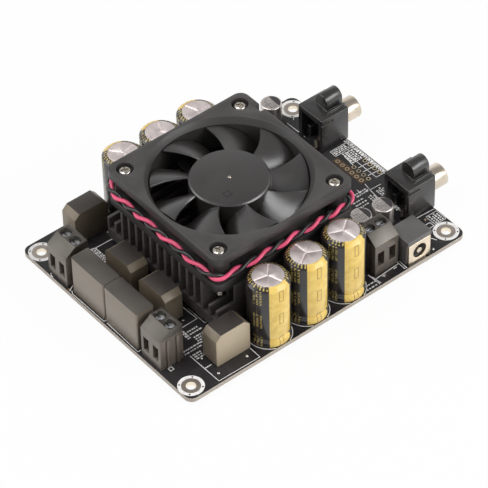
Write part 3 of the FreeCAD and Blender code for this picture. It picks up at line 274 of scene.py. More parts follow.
def board_finish():
    """Near-black solder mask over faint copper runs, pale glass fibre at the cut edges, and a
    painted highlight along the edges' top and bottom lips.
    """
    mask = tone(34, 32, 35)
    finish = Finish("board_mask", mask, 0.42, 0.0, {"Coat Weight": 0.15, "Coat Roughness": 0.2})
    x, y, z = finish.axes()
    reach_x, reach_y, corner = board_high.x, board_high.y, BOARD_CORNER
    over_x = (abs(x) - (reach_x - corner)).largest(0.0)
    over_y = (abs(y) - (reach_y - corner)).largest(0.0)
    out = finish.math("SQRT", over_x * over_x + over_y * over_y)
    edge = out.rise(corner - 0.12, corner - 0.02)
    middle_z = board_top / 2
    skin = abs(z - middle_z).rise(middle_z - 0.06, middle_z - 0.01)
    weave = finish.noise(0.5, 2.0, (1.0, 1.0, 5.0))
    cut = finish.blend(weave.rise(0.35, 0.65), tone(168, 158, 148), tone(205, 196, 184))
    # The cut edge's top and bottom lips are painted near white: a painted highlight.
    rim = finish.blend(skin, cut, tone(236, 230, 220))
    pour = finish.noise(14.0, 1.0).within(0.47, 0.53, 0.006)
    runs = finish.node("ShaderNodeTexBrick", {"offset": 0.5}, {
        "Vector": finish.place, "Scale": 0.28, "Mortar Size": 0.012, "Mortar Smooth": 0.2,
    }, output="Fac")
    copper = pour.largest(runs * 0.6)
    face = finish.blend(copper, mask, tone(44, 42, 43))
    gloss = 0.38 + 0.4 * edge + 0.1 * finish.noise(3.0)
    return finish.closed(finish.blend(edge, face, rim), gloss, copper + 0.3 * weave * edge, 0.03)


def print_finish():
    """White ink with thin spots."""
    finish = Finish("board_print", tone(240, 238, 236), 0.6)
    thin = finish.noise(1.4, 3.0)
    ink = finish.blend(thin.rise(0.25, 0.6), tone(226, 223, 222), tone(250, 249, 247))
    return finish.closed(ink, None, thin, 0.004)


def heatsink_finish():
    """Black anodised aluminium with the drawing lines of its extrusion along the fins."""
    finish = Finish("black_anodised", tone(92, 86, 84), 0.5, 0.2)
    lines = finish.noise(0.4, 2.0, (0.05, 1.0, 1.0))
    skin = finish.blend(lines.rise(0.3, 0.7), tone(68, 64, 63), tone(90, 84, 83))
    return finish.closed(skin, 0.36 + 0.2 * lines, lines, 0.01)


def sleeve_finish():
    """Glossy black sleeve with a gold band, barred with minus signs, on one side, and plain
    ticks beside it and round its shoulder. The first coordinate runs once round from the middle
    of the band and the second up the outline."""
    black = tone(38, 34, 33)
    finish = Finish("can_sleeve", black, 0.26, 0.0, {"Coat Weight": 0.5, "Coat Roughness": 0.12})
    around, up = finish.uv()
    turned = abs(around - 0.5)
    height = up * SLEEVE_SCALE
    band = turned.rise(BAND_HALF + 0.003, BAND_HALF - 0.003)
    drift = finish.noise(2.5, 3.0)
    gold = finish.blend(drift.rise(0.3, 0.7), tone(234, 196, 92), tone(248, 216, 116))
    part = finish.math("FRACT", (MINUS_TOP - height) / MINUS_PITCH) * MINUS_PITCH
    wide = turned.rise(MINUS_HALF + 0.001, MINUS_HALF - 0.001)
    slim = turned.rise(MINUS_HALF - 0.006, MINUS_HALF - 0.008)
    bar_area = part.within(0.4, 0.4 + MINUS_LENGTH, 0.04) * wide
    bar_inside = part.within(0.72, 0.08 + MINUS_LENGTH, 0.04) * slim
    minus = (bar_area - bar_inside).largest(0.0) * height.rise(MINUS_TOP + 0.1, MINUS_TOP)
    banded = finish.blend(0.8 * minus, gold, tone(150, 112, 50))
    columns = finish.math("FRACT", turned / TICK_COLUMN).within(0.18, 0.78, 0.03)
    area = turned.within(TICKS_NEAR, TICKS_FAR, 0.001) * part.within(0.2, TICKS_HIGH, 0.05)
    stroke = finish.math("FRACT", height / STROKE_PITCH).within(0.16, 0.62, 0.05)
    gaps = finish.noise(0.8, 1.0).rise(0.4, 0.46)
    steps = finish.math("FRACT", around * RIM_TICKS).within(0.15, 0.6, 0.05)
    rim = height.within(RIM_LOW, RIM_HIGH, 0.08) * steps
    marks = (area * columns * stroke * gaps).largest(rim * gaps)
    dark = finish.blend(marks, black, tone(206, 182, 104))
    gloss = 0.22 + 0.16 * drift + 0.12 * band
    return finish.closed(finish.blend(band, dark, banded), gloss, drift, 0.01)


def can_top_finish():
    """Bare aluminium with faint rolling marks."""
    finish = Finish("can_top", tone(232, 222, 218), 0.5, 1.0)
    rolled = finish.noise(0.3, 2.0, (1.0, 0.08, 1.0))
    cloud = finish.noise(3.0, 3.0)
    metal = finish.blend(cloud.rise(0.3, 0.7), tone(222, 210, 208), tone(242, 232, 230))
    return finish.closed(metal, 0.42 + 0.22 * rolled, rolled, 0.006)


def small_can_finish():
    """Bare can whose flat top carries a dark half-moon on the side of its minus lead and rows
    of plain ticks."""
    finish = Finish("small_can", tone(214, 206, 202), 0.3, 1.0)
    around, up = finish.uv()
    from_middle = SMALL_LENGTH - up * SLEEVE_SCALE
    flat = from_middle.rise(SMALL_FLAT, SMALL_FLAT - 0.05)
    toward = finish.math("COSINE", (around - 0.5) * math.tau) * from_middle
    dark = flat * toward.rise(SMALL_CHORD - 0.04, SMALL_CHORD + 0.04)
    x, y, z = finish.axes()
    rows = finish.math("FRACT", x / SMALL_ROW_PITCH).within(0.15, 0.65, 0.06)
    breaks = finish.noise(0.45, 1.0, (0.3, 1.0, 0.1)).rise(0.48, 0.54)
    ticks = flat * rows * breaks * from_middle.rise(SMALL_FLAT - 0.5, SMALL_FLAT - 0.6)
    drawn = finish.noise(0.4, 2.0, (1.0, 1.0, 0.1))
    metal = finish.blend(drawn.rise(0.3, 0.7), tone(200, 192, 188), tone(228, 220, 216))
    bare = finish.blend(0.6 * ticks, metal, tone(84, 78, 78))
    skin = finish.blend(dark, bare, tone(60, 55, 58))
    return finish.closed(skin, 0.26 + 0.2 * drawn + 0.2 * dark, drawn, 0.006, 1 - dark)


def winding_finish():
    """Stator: laminated steel in the middle, copper windings above and below."""
    finish = Finish("stator", tone(120, 80, 50), 0.4, 0.8)
    x, y, z = finish.axes()
    low, high = low_corner("fan_stator").z + CORE_INSET, high_corner("fan_stator").z - CORE_INSET
    core = z.within(low, high, 0.05)
    wires = finish.math("SINE", z * WIRE_TURNS).rise(-0.4, 0.4)
    skin = finish.blend(core, tone(176, 104, 58), tone(120, 118, 116))
    return finish.closed(skin, None, wires, 0.05)


WIRE_SKIN = {"grain": 0.4, "depth": 0.006, "spread": 0.1, "coat": 0.3}
# Level above which the terminal housings' upper slopes and tops are painted dark: painted shade.
SHADED_SLOPE_LEVEL = high_corner("terminal_left_housing").z - 3.1
ROUND_BAR, UPRIGHT = (0.1, 1.0, 1.0), (1.0, 1.0, 0.2)

print_ink = print_finish()
tin = worked_metal("bright_tin", tone(212, 208, 200), 0.28, spread=0.2)
bright_lining = worked_metal("bright_lining", tone(250, 240, 222), 0.5, spread=0.05)
dull_tin = worked_metal("dull_tin", tone(190, 180, 170), 0.42, spread=0.1)
gold_plate = worked_metal("gold_plate", tone(206, 172, 104), 0.34, spread=0.15)
pale_plate = worked_metal("pale_plate", tone(226, 208, 176), 0.36)
screw_steel = worked_metal("nickel_screws", tone(214, 208, 198), 0.26)
zinc = worked_metal("zinc_screws", tone(200, 202, 206), 0.3)
clamp_steel = worked_metal("clamp_steel", tone(186, 182, 172), 0.36, UPRIGHT)
nickel = worked_metal("nickel_barrels", tone(218, 206, 189), 0.24, ROUND_BAR, 0.002)
cream_plate = worked_metal("jack_plate", tone(240, 224, 200), 0.3, UPRIGHT)
plain_steel = worked_metal("plain_steel", tone(180, 178, 176), 0.35)
brown_strip = moulded("brown_strip", tone(86, 66, 48), 0.6)
ceramic = moulded("ceramic", tone(120, 98, 76), 0.5, grain=0.3)
nylon = moulded("natural_nylon", tone(226, 220, 208), 0.45, 0.8, 0.01, 0.06, 0.2)
pink_insulation = moulded("pink_insulation", tone(246, 92, 132), 0.38, **WIRE_SKIN)
black_insulation = moulded("black_insulation", tone(38, 35, 36), 0.34, **WIRE_SKIN)
small_base = moulded("small_base", tone(44, 42, 44), 0.5)
# The frame's top face is painted lighter than its sides: painted light.
fan_plastic = moulded("fan_plastic", tone(54, 52, 51), 0.46, grain=0.35, spread=0.12, coat=0.1,
                      top=(high_corner("fan_frame").z, tone(70, 68, 67)))
rotor_plastic = moulded("rotor_plastic", tone(40, 37, 36), 0.34, depth=0.008, spread=0.12,
                        coat=0.15, index=1.85)
# The housings' tops and upper slopes are painted dark: painted shade.
terminal_plastic = moulded("terminal_plastic", tone(84, 75, 69), 0.42, grain=0.4, coat=0.1,
                           index=2.0, shine=WARM_SHINE, top=(SHADED_SLOPE_LEVEL, tone(34, 30, 28)))
socket_plastic = moulded("socket_plastic", tone(38, 36, 35), 0.3, grain=0.4, depth=0.008,
                         spread=0.12, coat=0.2, index=1.7)
jack_plastic = moulded("jack_plastic", tone(86, 84, 82), 0.42, grain=0.4, depth=0.01,
                       spread=0.12, coat=0.1, index=1.8)
# Inductor tops are painted dark as painted shade, and the front inductor's front face is painted
# pale as painted light.
inductor_block = moulded("inductor_block", tone(120, 109, 93), 0.42, grain=0.3, depth=0.02,
                         spread=0.1, index=1.7, shine=WARM_SHINE,
                         top=(high_corner("inductor_front").z, tone(54, 49, 47)),
                         front=(low_corner("inductor_front").y, tone(186, 171, 147)))
# Film capacitor tops are painted dark against lighter sides: painted shade.
film_case = moulded("film_case", tone(116, 106, 94), 0.4, grain=0.35, depth=0.014, spread=0.1,
                    coat=0.1, index=2.0, shine=WARM_SHINE,
                    top=(high_corner("film_capacitor_1").z, tone(52, 48, 46)))


# Meshes

CUTTER_DETAIL = 0.05
MERGE_DISTANCE, FLAT_ANGLE = 0.002, 0.4


def to_object(name, mesh):
    item = bpy.data.objects.new(name, mesh)
    bpy.context.scene.collection.objects.link(item)
    return item


def settled(item):
    """An object's evaluated shape as a plain mesh; the object itself goes."""
    graph = bpy.context.evaluated_depsgraph_get()
    mesh = bpy.data.meshes.new_from_object(item.evaluated_get(graph))
    bpy.data.objects.remove(item)
    return mesh


def as_mesh(form):
    """A bmesh as a mesh; the bmesh itself goes."""
    mesh = bpy.data.meshes.new("form")
    form.to_mesh(mesh)
    form.free()
    return mesh


def mesh_of(form, outward=True):
    """A bmesh in millimetres as a mesh in metres."""
    if outward:
        bmesh.ops.recalc_face_normals(form, faces=form.faces)
    bmesh.ops.scale(form, vec=(MM, MM, MM), verts=form.verts)
    return as_mesh(form)


def node_form(name):
    """A CAD node as a bmesh in metres, the points of its faces merged."""
    form = bmesh.new()
    form.from_mesh(frame["nodes"][name].data)
    bmesh.ops.remove_doubles(form, verts=form.verts, dist=MERGE_DISTANCE * MM)
    return form


def once_round(count):
    """Even angles once round a circle."""
    return [math.tau * step / count for step in range(count)]


def bridged(form, lower, upper):
    """Add the faces between two rings of as many points."""
    corners = zip(lower, lower[1:] + lower[:1], upper[1:] + upper[:1], upper)
    return [form.faces.new(four) for four in corners]


def dress(name, mesh, material, body="amplifier", stands_for=(), sharp=35):
    """Make a mesh a finished piece that rides on a body."""
    mesh.name = name
    mesh.materials.clear()
    mesh.materials.append(material)
    mesh.shade_smooth()
    mesh.set_sharp_from_angle(angle=math.radians(sharp))
    item = to_object(name, mesh)
    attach(item, body)
    if stands_for:
        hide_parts(*stands_for)
    return item


def lathe(outline, segments=48):
    """Turn an outline of radii and heights about the vertical. Its own coordinates run once
    round, and along the outline from its first point."""
    form = bmesh.new()
    layer = form.loops.layers.uv.new("UVMap")
    rings, lengths, length = [], [], 0.0
    for index, (radius, height) in enumerate(outline):
        if index:
            length += math.dist(outline[index - 1], outline[index])
        lengths.append(length)
        rings.append([form.verts.new((radius * math.cos(a), radius * math.sin(a), height))
                      for a in once_round(segments if radius > 0 else 1)])
    for lower, upper, start, end in zip(rings, rings[1:], lengths, lengths[1:]):
        for step in range(segments):
            places = {}
            for level, around, along in ((lower, step, start), (lower, step + 1, start),
                                         (upper, step + 1, end), (upper, step, end)):
                vertex = level[around % len(level)]
                places.setdefault(vertex, (around / segments, along / SLEEVE_SCALE))
            face = form.faces.new(list(places))
            for loop, place in zip(face.loops, places.values()):
                loop[layer].uv = place
    return form


def bar(form, low, high):
    """Add a block between two corners."""
    size, centre = Vector(high) - Vector(low), (Vector(high) + Vector(low)) / 2
    matrix = Matrix.Translation(centre) @ Matrix.Diagonal((*size, 1.0))
    bmesh.ops.create_cube(form, size=1.0, matrix=matrix)
    return form


WEDGE_OVERLAP = 0.1


def wedge(form, reach, width, depth, turned):
    """Add a cutter that leaves a groove of V section from the origin outwards."""
    across = math.sin(turned), -math.cos(turned)
    ends = []
    for along in (-WEDGE_OVERLAP, reach):
        x, y = along * math.cos(turned), along * math.sin(turned)
        ends.append([
            form.verts.new((x + side * width * across[0], y + side * width * across[1], height))
            for side, height in ((-1, depth), (1, depth), (0, -depth))
        ])
    start, end = ends
    form.faces.new(start)
    form.faces.new(end[::-1])
    bridged(form, start, end)


def moved(form, x, y, z, turned=0.0):
    """Turn a form about the vertical and then move it."""
    matrix = Matrix.Translation((x, y, z)) @ Matrix.Rotation(turned, 4, "Z")
    bmesh.ops.transform(form, matrix=matrix, verts=form.verts)
    return form


def joined(form):
    """Blocks that share a corner as one solid, fit to be a cutter."""
    pieces = to_object("blocks", mesh_of(form))
    remesh = pieces.modifiers.new("one", "REMESH")
    remesh.mode = "VOXEL"
    remesh.voxel_size = CUTTER_DETAIL * MM
    result = bmesh.new()
    result.from_mesh(settled(pieces))
    bmesh.ops.scale(result, vec=(1 / MM, 1 / MM, 1 / MM), verts=result.verts)
    return result


def carved(form, cutter):
    """Cut one form out of another."""
    kept = to_object("kept", mesh_of(form, outward=False))
    tool = to_object("tool", mesh_of(cutter))
    cut = kept.modifiers.new("cut", "BOOLEAN")
    cut.operation = "DIFFERENCE"
    cut.solver = "EXACT"
    cut.object = tool
    mesh = settled(kept)
    bpy.data.objects.remove(tool)
    return mesh


def softened(name, width, material, body="amplifier", angle=30):
    """A rigid CAD node with its edges rounded as the real part's are."""
    form = node_form(name)
    bmesh.ops.dissolve_limit(form, angle_limit=math.radians(FLAT_ANGLE), verts=form.verts,
                             edges=form.edges)
    item = to_object("form", as_mesh(form))
    bevel = item.modifiers.new("soft edges", "BEVEL")
    bevel.width = width * MM
    bevel.segments = 2
    bevel.limit_method = "ANGLE"
    bevel.angle_limit = math.radians(angle)
    return dress(f"{name}_soft", settled(item), material, body, [name])


class Growth(Nodes):
    """A geometry tree with named inputs that ends in Realize Instances and Set Material."""

    def __init__(self, name, inputs):
        super().__init__(bpy.data.node_groups.new(name, "GeometryNodeTree"))
        face = self.tree.interface
        kind = "NodeSocketGeometry"
        face.new_socket("Geometry", in_out="INPUT", socket_type=kind)
        for label, socket_kind in inputs.items():
            face.new_socket(label, in_out="INPUT", socket_type=socket_kind)
        face.new_socket("Geometry", in_out="OUTPUT", socket_type=kind)
        entry = self.made("NodeGroupInput")
        self.given = {socket.name: Value(self, socket) for socket in entry.outputs[:-1]}

    def close(self, geometry):
        whole = self.node("GeometryNodeRealizeInstances", {}, {0: geometry})
        painted = self.node("GeometryNodeSetMaterial", {}, {0: whole,
                                                           "Material": self.given["Material"]})
        self.made("NodeGroupOutput", {}, {0: painted})
        return self.tree


def stroke_growth():
    """Flat strokes of ink or metal along every edge of a drawing."""
    growth = Growth("strokes", {"Width": "NodeSocketFloat", "Thickness": "NodeSocketFloat",
                                "Material": "NodeSocketMaterial"})
    lines = growth.node("GeometryNodeMeshToCurve", {}, {0: growth.given["Geometry"]})
    flat = growth.node("GeometryNodeSetCurveNormal", {"mode": "Z_UP"}, {0: lines})
    section = growth.node("GeometryNodeCurvePrimitiveQuadrilateral", {"mode": "RECTANGLE"}, {
        "Width": growth.given["Width"], "Height": growth.given["Thickness"]})
    drawn = growth.node("GeometryNodeCurveToMesh", {}, {
        "Curve": flat, "Profile Curve": section, "Fill Caps": True})
    return growth.close(drawn)


def scatter_growth():
    """A copy of one form on every point, turned by the point's own value."""
    growth = Growth("scattered", {"Form": "NodeSocketObject",
                                  "Material": "NodeSocketMaterial"})
    form = growth.node("GeometryNodeObjectInfo", {}, {"Object": growth.given["Form"]},
                       output="Geometry")
    turned = growth.node("GeometryNodeInputNamedAttribute", {"data_type": "FLOAT"},
                         {"Name": "turn"})
    rotation = growth.node("ShaderNodeCombineXYZ", {}, {2: turned})
    copies = growth.node("GeometryNodeInstanceOnPoints", {}, {
        "Points": growth.given["Geometry"], "Instance": form, "Rotation": rotation})
    return growth.close(copies)


def grown(base, tree, **inputs):
    """Run a geometry tree on a base mesh and return the plain mesh that it makes."""
    item = to_object("base", base)
    modifier = item.modifiers.new("growth", "NODES")
    modifier.node_group = tree
    for socket in tree.interface.items_tree:
        if socket.in_out == "INPUT" and socket.name in inputs:
            modifier[socket.identifier] = inputs[socket.name]
    return settled(item)


strokes_tree = stroke_growth()
scatter_tree = scatter_growth()


def strokes(name, paths, width, level, material, thickness=0.03):
    """Draw flat lines through lists of points; a list that ends where it starts is a loop."""
    form = bmesh.new()
    for path in paths:
        closed = path[0] == path[-1]
        corners = [form.verts.new((x, y, level + thickness / 2)) for x, y in path]
        if closed:
            form.verts.remove(corners.pop())
            corners.append(corners[0])
        for first, second in zip(corners, corners[1:]):
            form.edges.new((first, second))
    mesh = grown(mesh_of(form, outward=False), strokes_tree,
                 Width=width * MM, Thickness=thickness * MM, Material=material)
    return dress(name, mesh, material)


def ring(x, y, radius, sides=64):
    """Points once round a circle."""
    path = [(x + radius * math.cos(a), y + radius * math.sin(a)) for a in once_round(sides)]
    return path + path[:1]


def scattered(name, form_mesh, points, material, stands_for=(), sharp=35):
    """Repeat a form, given at the origin, on points of x, y, z and turn."""
    base = bpy.data.meshes.new("points")
    base.from_pydata([(x * MM, y * MM, z * MM) for x, y, z, turned in points], [], [])
    turns = base.attributes.new("turn", "FLOAT", "POINT")
    turns.data.foreach_set("value", [point[3] for point in points])
    form = to_object("form", form_mesh)
    mesh = grown(base, scatter_tree, Form=form, Material=material)
    bpy.data.objects.remove(form)
    return dress(name, mesh, material, stands_for=stands_for, sharp=sharp)


def islands(name):
    """Centre and size of every separate solid of a CAD node, in millimetres."""
    form = node_form(name)
    left, found = set(form.verts), []
    while left:
        edge, group = [left.pop()], []
        while edge:
            vertex = edge.pop()
            group.append(vertex.co / MM)
            for link in vertex.link_edges:
                other = link.other_vert(vertex)
                if other in left:
                    left.remove(other)
                    edge.append(other)
        low = Vector([min(point[axis] for point in group) for axis in range(3)])
        high = Vector([max(point[axis] for point in group) for axis in range(3)])
        found.append(((low + high) / 2, high - low))
    form.free()
    return sorted(found, key=lambda item: tuple(round(value, 3) for value in item[0]))


# Camera, at the angle of the photograph

CAMERA_PLACE = (-503.145, -636.129, 799.278)
CAMERA_TURN, CAMERA_HEIGHT, CAMERA_ROLL = -38.339, 44.567, -1.4126
FOCAL_PIXELS = 3312.16


def set_camera():
    lens = bpy.data.cameras.new("camera")
    lens.sensor_width = SENSOR
    lens.lens = FOCAL_PIXELS / RENDERED_WIDTH * SENSOR
    lens.clip_start, lens.clip_end = 0.05, 50.0
    camera = to_object("camera", lens)
    turn = Matrix.Rotation(math.radians(CAMERA_TURN), 4, "Z")
    tilt = Matrix.Rotation(math.radians(90 - CAMERA_HEIGHT), 4, "X")
    roll = Matrix.Rotation(math.radians(CAMERA_ROLL), 4, "Z")
    camera.matrix_world = Matrix.Translation(Vector(CAMERA_PLACE) * MM) @ turn @ tilt @ roll
    bpy.context.scene.camera = camera


set_camera()


# The fan's lead: a pink and a black wire twisted together

LEAD_SIDE, LEAD_LEVEL = 30.35, 6.8
LEAD_EXIT, LEAD_NEAR, LEAD_LEAVE = 12.0, 18.35, -14.0
LEAD_BOW = (0.6, -0.6, 1.2)
LEAD_DROP = 9.0
WIRE_RADIUS = 0.72
TWIST_PITCH = 12.4
TWIST_MARKS = (84.6, 96.5, 109.8, 123.8, 137.8, 151.8, 163.7, 175.6, 184.7, 195.2)
WIRE_SIDES = 12
WIRE_STEP = 0.7


def lead_route():
    """The lead's points: once round the frame between its flanges, then down to its plug."""
    plug = middle("fan_plug").xy.to_3d() + Vector((0, 0, high_corner("fan_plug").z))
    centre = Vector((fan_middle.x, fan_middle.y, fan_bottom + LEAD_LEVEL))
    side, bend = LEAD_SIDE, LEAD_SIDE - LEAD_NEAR
    points = [centre + Vector((side, LEAD_EXIT, 0)), centre + Vector((side, LEAD_NEAR, 0))]
    corners = [Vector(corner) for corner in ((1, 1, 0), (-1, 1, 0), (-1, -1, 0), (1, -1, 0))]
    for corner, following in zip(corners, corners[1:] + corners[:1]):
        start, along = centre + corner * side, (following - corner) / 2
        points += [start, start + along * bend]
        if following != corners[0]:
            points.append(start + along * (2 * side - bend))
    leave = centre + Vector((side, LEAD_LEAVE, 0))
    approach = plug + Vector((0, 0, LEAD_DROP))
    points += [leave, (leave + approach) / 2 + Vector(LEAD_BOW), approach, plug]
    return points


def smooth_line(points):
    """Points along the smooth line through a route, in millimetres."""
    line = bpy.data.curves.new("route", "CURVE")
    line.dimensions = "3D"
    line.resolution_u = 24
    spline = line.splines.new("NURBS")
    spline.points.add(len(points) - 1)
    for target, point in zip(spline.points, points):
        target.co = (*(point * MM), 1.0)
    spline.order_u = 3
    spline.use_endpoint_u = True
    return [vertex.co / MM for vertex in settled(to_object("route", line)).vertices]


def evenly(points, step):
    """The same line with its points an even step apart."""
    lengths = [0.0]
    for first, second in zip(points, points[1:]):
        lengths.append(lengths[-1] + (second - first).length)
    count = max(2, round(lengths[-1] / step))
    result, index = [], 0
    for number in range(count + 1):
        wanted = lengths[-1] * number / count
        while index < len(points) - 2 and lengths[index + 1] < wanted:
            index += 1
        share = (wanted - lengths[index]) / max(lengths[index + 1] - lengths[index], 1e-9)
        result.append(points[index].lerp(points[index + 1], min(max(share, 0.0), 1.0)))
    return result, lengths[-1]


def frames_along(points):
    """Direction and a steady side vector at each point of a line."""
    side = None
    frames = []
    for index, point in enumerate(points):
        before, after = points[max(index - 1, 0)], points[min(index + 1, len(points) - 1)]
        ahead = (after - before).normalized()
        if side is None:
            side = ahead.orthogonal()
        side = (side - ahead * side.dot(ahead)).normalized()
        frames.append((ahead, side, ahead.cross(side)))
    return frames


def tube(form, points, radius, sides, material_index):
    """Add a closed round tube along points."""
    rings = []
    for point, (ahead, side, other) in zip(points, frames_along(points)):
        rings.append([form.verts.new(point + radius * (math.cos(a) * side + math.sin(a) * other))
                      for a in once_round(sides)])
    faces = [face for pair in zip(rings, rings[1:]) for face in bridged(form, *pair)]
    faces += [form.faces.new(rings[0][::-1]), form.faces.new(rings[-1])]
    for face in faces:
        face.material_index = material_index


def turns_at(distance):
    """Turns of the pair at a distance along it: twisted by hand, so whole turns come at marks
    that are not quite even."""
    marks = TWIST_MARKS
    if distance < marks[0]:
        return (distance - marks[0]) / TWIST_PITCH
    for number, (before, after) in enumerate(zip(marks, marks[1:])):
        if distance <= after:
            return number + (distance - before) / (after - before)
    return len(marks) - 1 + (distance - marks[-1]) / TWIST_PITCH


def fan_lead():
    points, length = evenly(smooth_line(lead_route()), WIRE_STEP)
    step = length / (len(points) - 1)
    form = bmesh.new()
    for wire, offset in ((0, 0.0), (1, math.pi)):
        strand = []
        for index, (point, (ahead, side, other)) in enumerate(zip(points, frames_along(points))):
            angle = offset - math.tau * turns_at(index * step)
            away = math.cos(angle) * side + math.sin(angle) * other
            strand.append(point + away * WIRE_RADIUS)
        tube(form, strand, WIRE_RADIUS, WIRE_SIDES, wire)
    mesh = mesh_of(form)
    mesh.name = "twisted_lead"
    for material in (pink_insulation, black_insulation):
        mesh.materials.append(material)
    mesh.shade_smooth()
    lead = to_object("twisted_lead", mesh)
    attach(lead, "amplifier")
    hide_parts("fan_lead")
    plug = softened("fan_plug", 0.25, nylon)
    path = [point * MM for point in points]
    length * MM


fan_lead()


# Power capacitors

CAN_RADIUS = 7.5
GROOVE_HEIGHT, GROOVE_HALF, GROOVE_DEPTH = 3.2, 1.1, 0.7
SHOULDER_DROP = 1.5
DISC_RADIUS = 5.55
DISC_SINK = 0.35
SCORE_REACH, SCORE_WIDTH, SCORE_DEPTH = 5.2, 0.75, 0.26
FRONT_BAND, REAR_BAND = -94.0, 92.0
SCORE_ANGLES = {
    "capacitor_front_1": 48.0, "capacitor_front_2": 92.0, "capacitor_front_3": 37.0,
    "capacitor_rear_1": 8.5, "capacitor_rear_2": 64.0, "capacitor_rear_3": 109.0,
}


def rounded_step(start, end, count):
    """Points from start to end along a quarter ellipse that leaves upwards."""
    (radius, height), (end_radius, end_height) = start, end
    angles = [math.pi / 2 * step / count for step in range(1, count + 1)]
    return [(end_radius + (radius - end_radius) * math.cos(a),
             height + (end_height - height) * math.sin(a)) for a in angles]


def power_capacitor(name):
    """Sleeve with a crimp groove and a rolled shoulder, and a scored disc let into its top."""
    centre, top = middle(name), high_corner(name).z
    height = top - board_top
    outline = [(0, 0), (CAN_RADIUS - 0.5, 0), (CAN_RADIUS - 0.1, 0.15), (CAN_RADIUS, 0.5)]
    for step in range(9):
        share = step / 8
        depth = GROOVE_DEPTH * math.sin(math.pi * share) ** 2
        outline.append((CAN_RADIUS - depth, GROOVE_HEIGHT + GROOVE_HALF * (2 * share - 1)))
    rim = height - SHOULDER_DROP
    outline += [(CAN_RADIUS, rim - 0.25), (CAN_RADIUS - 0.12, rim + 0.05)]
    outline += [(CAN_RADIUS - 0.5, rim + 0.32), (DISC_RADIUS + 0.6, height - 0.3)]
    outline += rounded_step((DISC_RADIUS + 0.3, height - 0.12), (DISC_RADIUS, height), 2)
    outline += [(DISC_RADIUS, height - DISC_SINK), (0, height - DISC_SINK)]
    band = FRONT_BAND if "front" in name else REAR_BAND
    turned = math.radians(band) - math.pi
    sleeve = moved(lathe(outline, 72), centre.x, centre.y, board_top, turned)
    dress(f"{name}_sleeve", mesh_of(sleeve), sleeve_material, stands_for=[name])

    lid = DISC_RADIUS - 0.02
    disc = lathe([(0, -0.3), (lid, -0.3), (lid, -0.1), (lid - 0.25, 0.0), (0, 0.0)], 72)
    score = bmesh.new()
    for arm in once_round(3):
        wedge(score, SCORE_REACH, SCORE_WIDTH, SCORE_DEPTH,
              math.radians(SCORE_ANGLES[name]) + arm)
    mesh = carved(disc, joined(score))
    place = Matrix.Translation(Vector((centre.x, centre.y, top - 0.05)) * MM)
    mesh.transform(place)
    dress(f"{name}_disc", mesh, can_top)


sleeve_material = sleeve_finish()
can_top = can_top_finish()
for name in SCORE_ANGLES:
    power_capacitor(name)


# Small cans

SMALL_RADIUS, SMALL_ROUND, SMALL_CHORD = 3.85, 0.5, 1.2
SMALL_BASE_HEIGHT, SMALL_BASE_CUT = 1.3, 1.0
SMALL_FLAT = SMALL_RADIUS - SMALL_ROUND
SMALL_HEIGHT = high_corner("small_capacitor_1").z - board_top


def small_outline():
    """Outline of a small can, from the middle of its underside to the middle of its top."""
    radius, top = SMALL_RADIUS, SMALL_HEIGHT - SMALL_ROUND
    neck = radius - 0.45
    outline = [(0, 1.25), (neck, 1.25), (neck, 2.3), (radius, 2.75), (radius, top)]
    outline += rounded_step((radius, top), (SMALL_FLAT, SMALL_HEIGHT), 3)
    return outline + [(0, SMALL_HEIGHT)]


SMALL_LENGTH = sum(math.dist(*pair) for pair in zip(small_outline(), small_outline()[1:]))


def small_can(name):
    """Can pinched above its square base, the corners of the base cut on one side."""
    low, high = low_corner(name), high_corner(name)
    centre = (low + high) / 2
    can = moved(lathe(small_outline()), centre.x, centre.y, board_top, -math.pi)
    dress(f"{name}_can", mesh_of(can), small_can_material, stands_for=[name])
    form = bmesh.new()
    half, cut = (high.x - low.x) / 2, SMALL_BASE_CUT
    flat = [(-half, -half), (half - cut, -half), (half, cut - half), (half, half - cut),
            (half - cut, half), (-half, half)]
    corners = [form.verts.new((centre.x + x, centre.y + y, board_top)) for x, y in flat]
    plate = form.faces.new(corners)
    raised = bmesh.ops.extrude_face_region(form, geom=[plate])
    tops = [item for item in raised["geom"] if isinstance(item, bmesh.types.BMVert)]
    bmesh.ops.translate(form, vec=(0, 0, SMALL_BASE_HEIGHT), verts=tops)
    bmesh.ops.bevel(form, geom=form.edges[:], offset=0.12, segments=2, affect="EDGES")
    dress(f"{name}_base", mesh_of(form), small_base)


small_can_material = small_can_finish()
for number in (1, 2, 3):
    small_can(f"small_capacitor_{number}")


# Screws

def screw_form(shank, reach, head, rise, pitch, thread):
    """Pan-head screw at the origin, its seat at height 0: threaded shank and cross recess."""
    outline = [(0, -reach), (shank - 0.3, -reach)]
    turns = int((reach - 1.0) / pitch)
    for number in range(turns):
        start = -reach + 0.3 + number * pitch
        outline += [(shank - thread, start), (shank, start + pitch * 0.35),
                    (shank, start + pitch * 0.5), (shank - thread, start + pitch * 0.85)]
    outline += [(shank, -0.4), (shank, 0.0), (head - 0.1, 0.0), (head, 0.15)]
    outline += rounded_step((head, rise * 0.35), (head * 0.45, rise), 6)
    outline.append((0, rise))
    cross = bmesh.new()
    arm, half = head * 0.62, head * 0.13
    bar(cross, (-arm, -half, rise * 0.3), (arm, half, rise + 1.0))
    bar(cross, (-half, -arm, rise * 0.3 - 0.02), (half, arm, rise + 1.1))
    return carved(lathe(outline, 32), joined(cross))


FAN_SCREW_SINK = 2.2
FAN_SCREW_TURNS = [math.radians(degrees) for degrees in (20.0, 65.0, -10.0, 40.0)]
HEATSINK_SCREW_TURNS = (0.0, 0.6)


def screws(node, form, level, turns):
    """A screw in the place of each of a node's solids."""
    points = [(centre.x, centre.y, level, turned)
              for (centre, size), turned in zip(islands(node), turns)]
    scattered(f"{node[:-1]}_heads", form, points, screw_steel, [node], 40)


